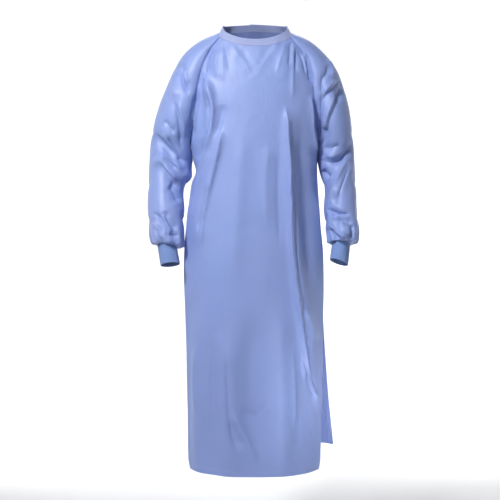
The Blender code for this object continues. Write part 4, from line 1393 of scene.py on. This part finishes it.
def make_sweep():
    """The pale round floor, which bends up into the wall of the studio all the way round."""
    flat = SWEEP_RADIUS - SWEEP_BEND
    profile = [(0.0, FLOOR_Z), (flat, FLOOR_Z)]
    for i in range(1, SWEEP_BEND_STEPS + 1):
        turn = math.pi / 2 * i / SWEEP_BEND_STEPS
        profile.append((flat + SWEEP_BEND * math.sin(turn),
                        FLOOR_Z + SWEEP_BEND - SWEEP_BEND * math.cos(turn)))
    profile.append((SWEEP_RADIUS, SWEEP_TOP_Z))
    work = bmesh.new()
    points = [work.verts.new((radius, 0.0, z)) for radius, z in profile]
    edges = [work.edges.new(pair) for pair in zip(points, points[1:])]
    bmesh.ops.spin(work, geom=points + edges, cent=(0.0, 0.0, 0.0), axis=(0.0, 0.0, 1.0),
                   angle=2 * math.pi, steps=SWEEP_STEPS)
    bmesh.ops.remove_doubles(work, verts=work.verts, dist=SAME_PLACE)
    bmesh.ops.recalc_face_normals(work, faces=work.faces)
    bmesh.ops.reverse_faces(work, faces=work.faces)
    mesh = bpy.data.meshes.new("pale_sweep")
    work.to_mesh(mesh)
    work.free()
    mesh.shade_smooth()
    material, _, _ = new_material("pale_sweep", SWEEP_WHITE, SWEEP_FINISH)
    mesh.materials.append(material)
    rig.stage(show("pale_sweep", mesh))


def make_lights():
    scene = bpy.context.scene
    for light in LIGHTS:
        data = bpy.data.lights.new(light.name, "AREA")
        data.energy = light.power
        data.size = light.size
        data.spread = math.radians(light.spread_deg)
        lamp = bpy.data.objects.new(light.name, data)
        lamp.location = light.place
        lamp.visible_camera = False
        aim(lamp, light.place, light.aim)
        scene.collection.objects.link(lamp)
    world = bpy.data.worlds.new("studio")
    world.use_nodes = True
    sky = world.node_tree.nodes["Background"]
    sky.inputs["Color"].default_value = WORLD_TINT
    sky.inputs["Strength"].default_value = WORLD_LIGHT
    scene.world = world
    scene.view_settings.view_transform = "Standard"


def cut_cloths():
    """All pieces of the gown on the smooth form of their solids."""
    pieces = [
        make_panel("front_cloth", front_panel_points, even_shares(FRONT_COLUMNS)),
        make_panel("back_outer_cloth", outer_back_points, outer_back_shares()),
        make_panel("back_inner_cloth", inner_back_points, even_shares(INNER_BACK_COLUMNS)),
        make_sleeve("sleeve_right_cloth", CAP_RIGHT, TUBE_RIGHT, -1),
        make_sleeve("sleeve_left_cloth", CAP_LEFT, TUBE_LEFT, 1),
        make_cuff("cuff_right_knit", TUBE_RIGHT, CUFF_RIGHT_END, -1),
        make_cuff("cuff_left_knit", TUBE_LEFT, CUFF_LEFT_END, 1),
    ]
    return {piece.name: piece for piece in pieces}


def crease_cloths(cloths):
    """Raise the folds and creases, each on the pieces that it crosses."""
    pieces = list(cloths.values())
    panels = [cloths[name] for name in PANELS]
    sleeves = [cloths[name] for name in SLEEVES]
    raise_folds(pieces, FOLDS)
    raise_folds(pieces, FRONT_CREASES + RIGHT_SLEEVE_CREASES + LEFT_SLEEVE_CREASES
                + BACK_CREASES + ARMHOLE_CLEFTS, CREASE_DEPTH, CREASE_CREST)
    raise_folds(panels, SIDE_CREASES, CREASE_DEPTH, CREASE_CREST)
    raise_folds(sleeves, SLEEVE_SIDE_CREASES, CREASE_DEPTH, CREASE_CREST)
    raise_folds(sleeves[:1], [ELBOW_POUCH])
    raise_folds(panels[:2], [WAIST_TUCK])


def sew_cloths(cloths):
    """Press the seams, turn the hems and part the pieces at their seams."""
    share_normals(list(cloths.values()))
    for piece in cloths.values():
        _, _, _, from_hem = piece.distances()
        first_seam, last_seam = SEAMS.get(piece.name, (False, False))
        if first_seam or last_seam:
            press_seams(piece, first_seam, last_seam)
        if piece.name in PANELS:
            turn_hem(piece, from_hem)
        open_seams(piece)
    share_normals(list(cloths.values()))


def make_facing(outer):
    """The strip inside the flap's free edge, with the raised rows of its double stitching."""
    shares = finer(outer_back_shares(), PANEL_SPLIT)
    last = int(np.argmin(np.abs(shares - FACING_WIDTH / FLAP_PANEL_WIDTH))) + 1
    first_row = YOKE_ROWS * YOKE_SPLIT + FACING_TOP_ROW * SKIRT_SPLIT
    facing = Cloth("flap_facing_cloth", outer.points[first_row:, :last].copy(), True)
    facing.normals = outer.normals[first_row:, :last].copy()
    from_edge, _, _, _ = facing.distances()
    for distance in FACING_WELTS:
        welt = FACING_WELT_HEIGHT * np.exp(-((from_edge - distance) / FACING_WELT_WIDTH) ** 2)
        facing.points -= facing.normals * welt[..., None]
    return facing


def make_fastener(inner):
    """The closed touch fastener, a patch on the inner back panel at the neck."""
    columns = EDGE_SPLIT * PANEL_SPLIT + PANEL_SPLIT
    place = (slice(YOKE_SPLIT, 2 * YOKE_SPLIT + 1), slice(-columns, None))
    patch = Cloth("neck_touch_fastener", inner.points[place].copy(), True)
    patch.normals = inner.normals[place].copy()
    return patch


def facing_lines(facing):
    """The stitching of the facing: down one row, across and up the other, on its inner side."""
    inside = -(CLOTH_SHOWN + SEAM_GAP + FACING_SHOWN)
    rows = range(len(facing.points))
    shares = [welt / FACING_WIDTH for welt in FACING_WELTS]
    lines = [column_line(facing, share, rows[:-1], inside) for share in shares]
    across = [column_line(facing, share, rows[-2:-1], inside)[0]
              for share in np.linspace(*shares, FACING_TURN_POINTS)]
    return lines + [np.array(across)]


def show_cloth(piece, thickness, material, proud, slot, node):
    mesh = shell_mesh(piece, thickness, material, proud)
    return ride_and_slot(show(piece.name, mesh), slot, node)


def show_cuff(cuff, ribs, sockets, knit, node):
    """A rib-knit cuff, which knows at each point how far round the wrist it lies."""
    mesh = shell_mesh(cuff, RIB_KNIT_SHOWN, knit, -RIB_HEIGHT)
    places = np.array([v.co for v in mesh.vertices])
    middle = cuff.points.reshape(-1, 3).mean(axis=0)
    around = np.arctan2(places[:, 1] - middle[1], places[:, 0] - middle[0]) / (2 * math.pi)
    layer = mesh.attributes.new("around", "FLOAT", "POINT")
    layer.data.foreach_set("value", around.astype(np.float32))
    thing = run_tree(cuff.name, mesh, ribs, sockets,
                     {"Rib Count": RIB_COUNT, "Rib Height": RIB_HEIGHT})
    return ride_and_slot(thing, "rib_knit", node)


def show_gown(cloths, facing, patch):
    """Every piece of cloth in its own material, by name."""
    gown = woven_material("gown_cloth", GOWN_BLUE, GOWN_VIOLET, GOWN_FINISH)
    band = woven_material("binding_cloth", BINDING_BLUE, BINDING_BLUE, BINDING_FINISH)
    knit = knit_material()
    shown = {}
    for name, node in GOWN_NODES.items():
        shown[name] = show_cloth(cloths[name], CLOTH_SHOWN, gown, 0.0, "gown_cloth", node)
    ribs, sockets = rib_tree(knit)
    for name, node in CUFF_NODES.items():
        shown[name] = show_cuff(cloths[name], ribs, sockets, knit, node)
    shown["neck_band"] = show_cloth(cloths["neck_band"], BINDING_SHOWN, band, BINDING_PROUD,
                                    "neck_binding_cloth", "neck_binding")
    shown[facing.name] = show_cloth(facing, FACING_SHOWN, gown, -(CLOTH_SHOWN + SEAM_GAP),
                                    "gown_cloth", "flap_facing")
    shown[patch.name] = show_cloth(patch, FASTENER, band, SEAM_GAP + FASTENER,
                                   "touch_fastener", "neck_fastener")
    return shown


def stitch_gown(cloths, facing):
    """The visible stitching, by the piece that it is sewn on."""
    tree, sockets = stitch_tree(thread_material())
    hems = [row_line(cloths[name], HEM_WIDTH - HEM_ROLL) for name in PANELS]
    band = cloths["neck_band"]
    band_row = band.points[-2] + band.normals[-2] * BINDING_PROUD
    hem = make_stitches("hem_stitches", hems, tree, sockets, "gown_cloth")
    welts = make_stitches("facing_stitches", facing_lines(facing), tree, sockets, "gown_cloth")
    edging = make_stitches("binding_stitches", [band_row], tree, sockets, "neck_binding_cloth")
    return {"front_cloth": [hem], "flap_facing_cloth": [welts], "neck_band": [edging]}


def main():
    make_camera()
    cloths = cut_cloths()
    crease_cloths(cloths)
    cloths["neck_band"] = make_binding(neckline(cloths))
    sew_cloths(cloths)
    facing = make_facing(cloths["back_outer_cloth"])
    patch = make_fastener(cloths["back_inner_cloth"])
    shown = show_gown(cloths, facing, patch)
    stitched = stitch_gown(cloths, facing)
    for sheet in SHEETS:
        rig.sheet(shown[sheet.piece], flat=(sheet.width, sheet.length), held=sheet.held,
                 rests_on=sheet.rests_on, area=sheet.area,
                 with_pieces=stitched.get(sheet.piece, []))
    make_sweep()
    make_lights()
    low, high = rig.bounds()
    with open("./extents.json", "w") as file:
        json.dump({"solids": [list(SOLID_LOW), list(SOLID_HIGH)],
                   "visual": [list(low), list(high)]}, file)


main()
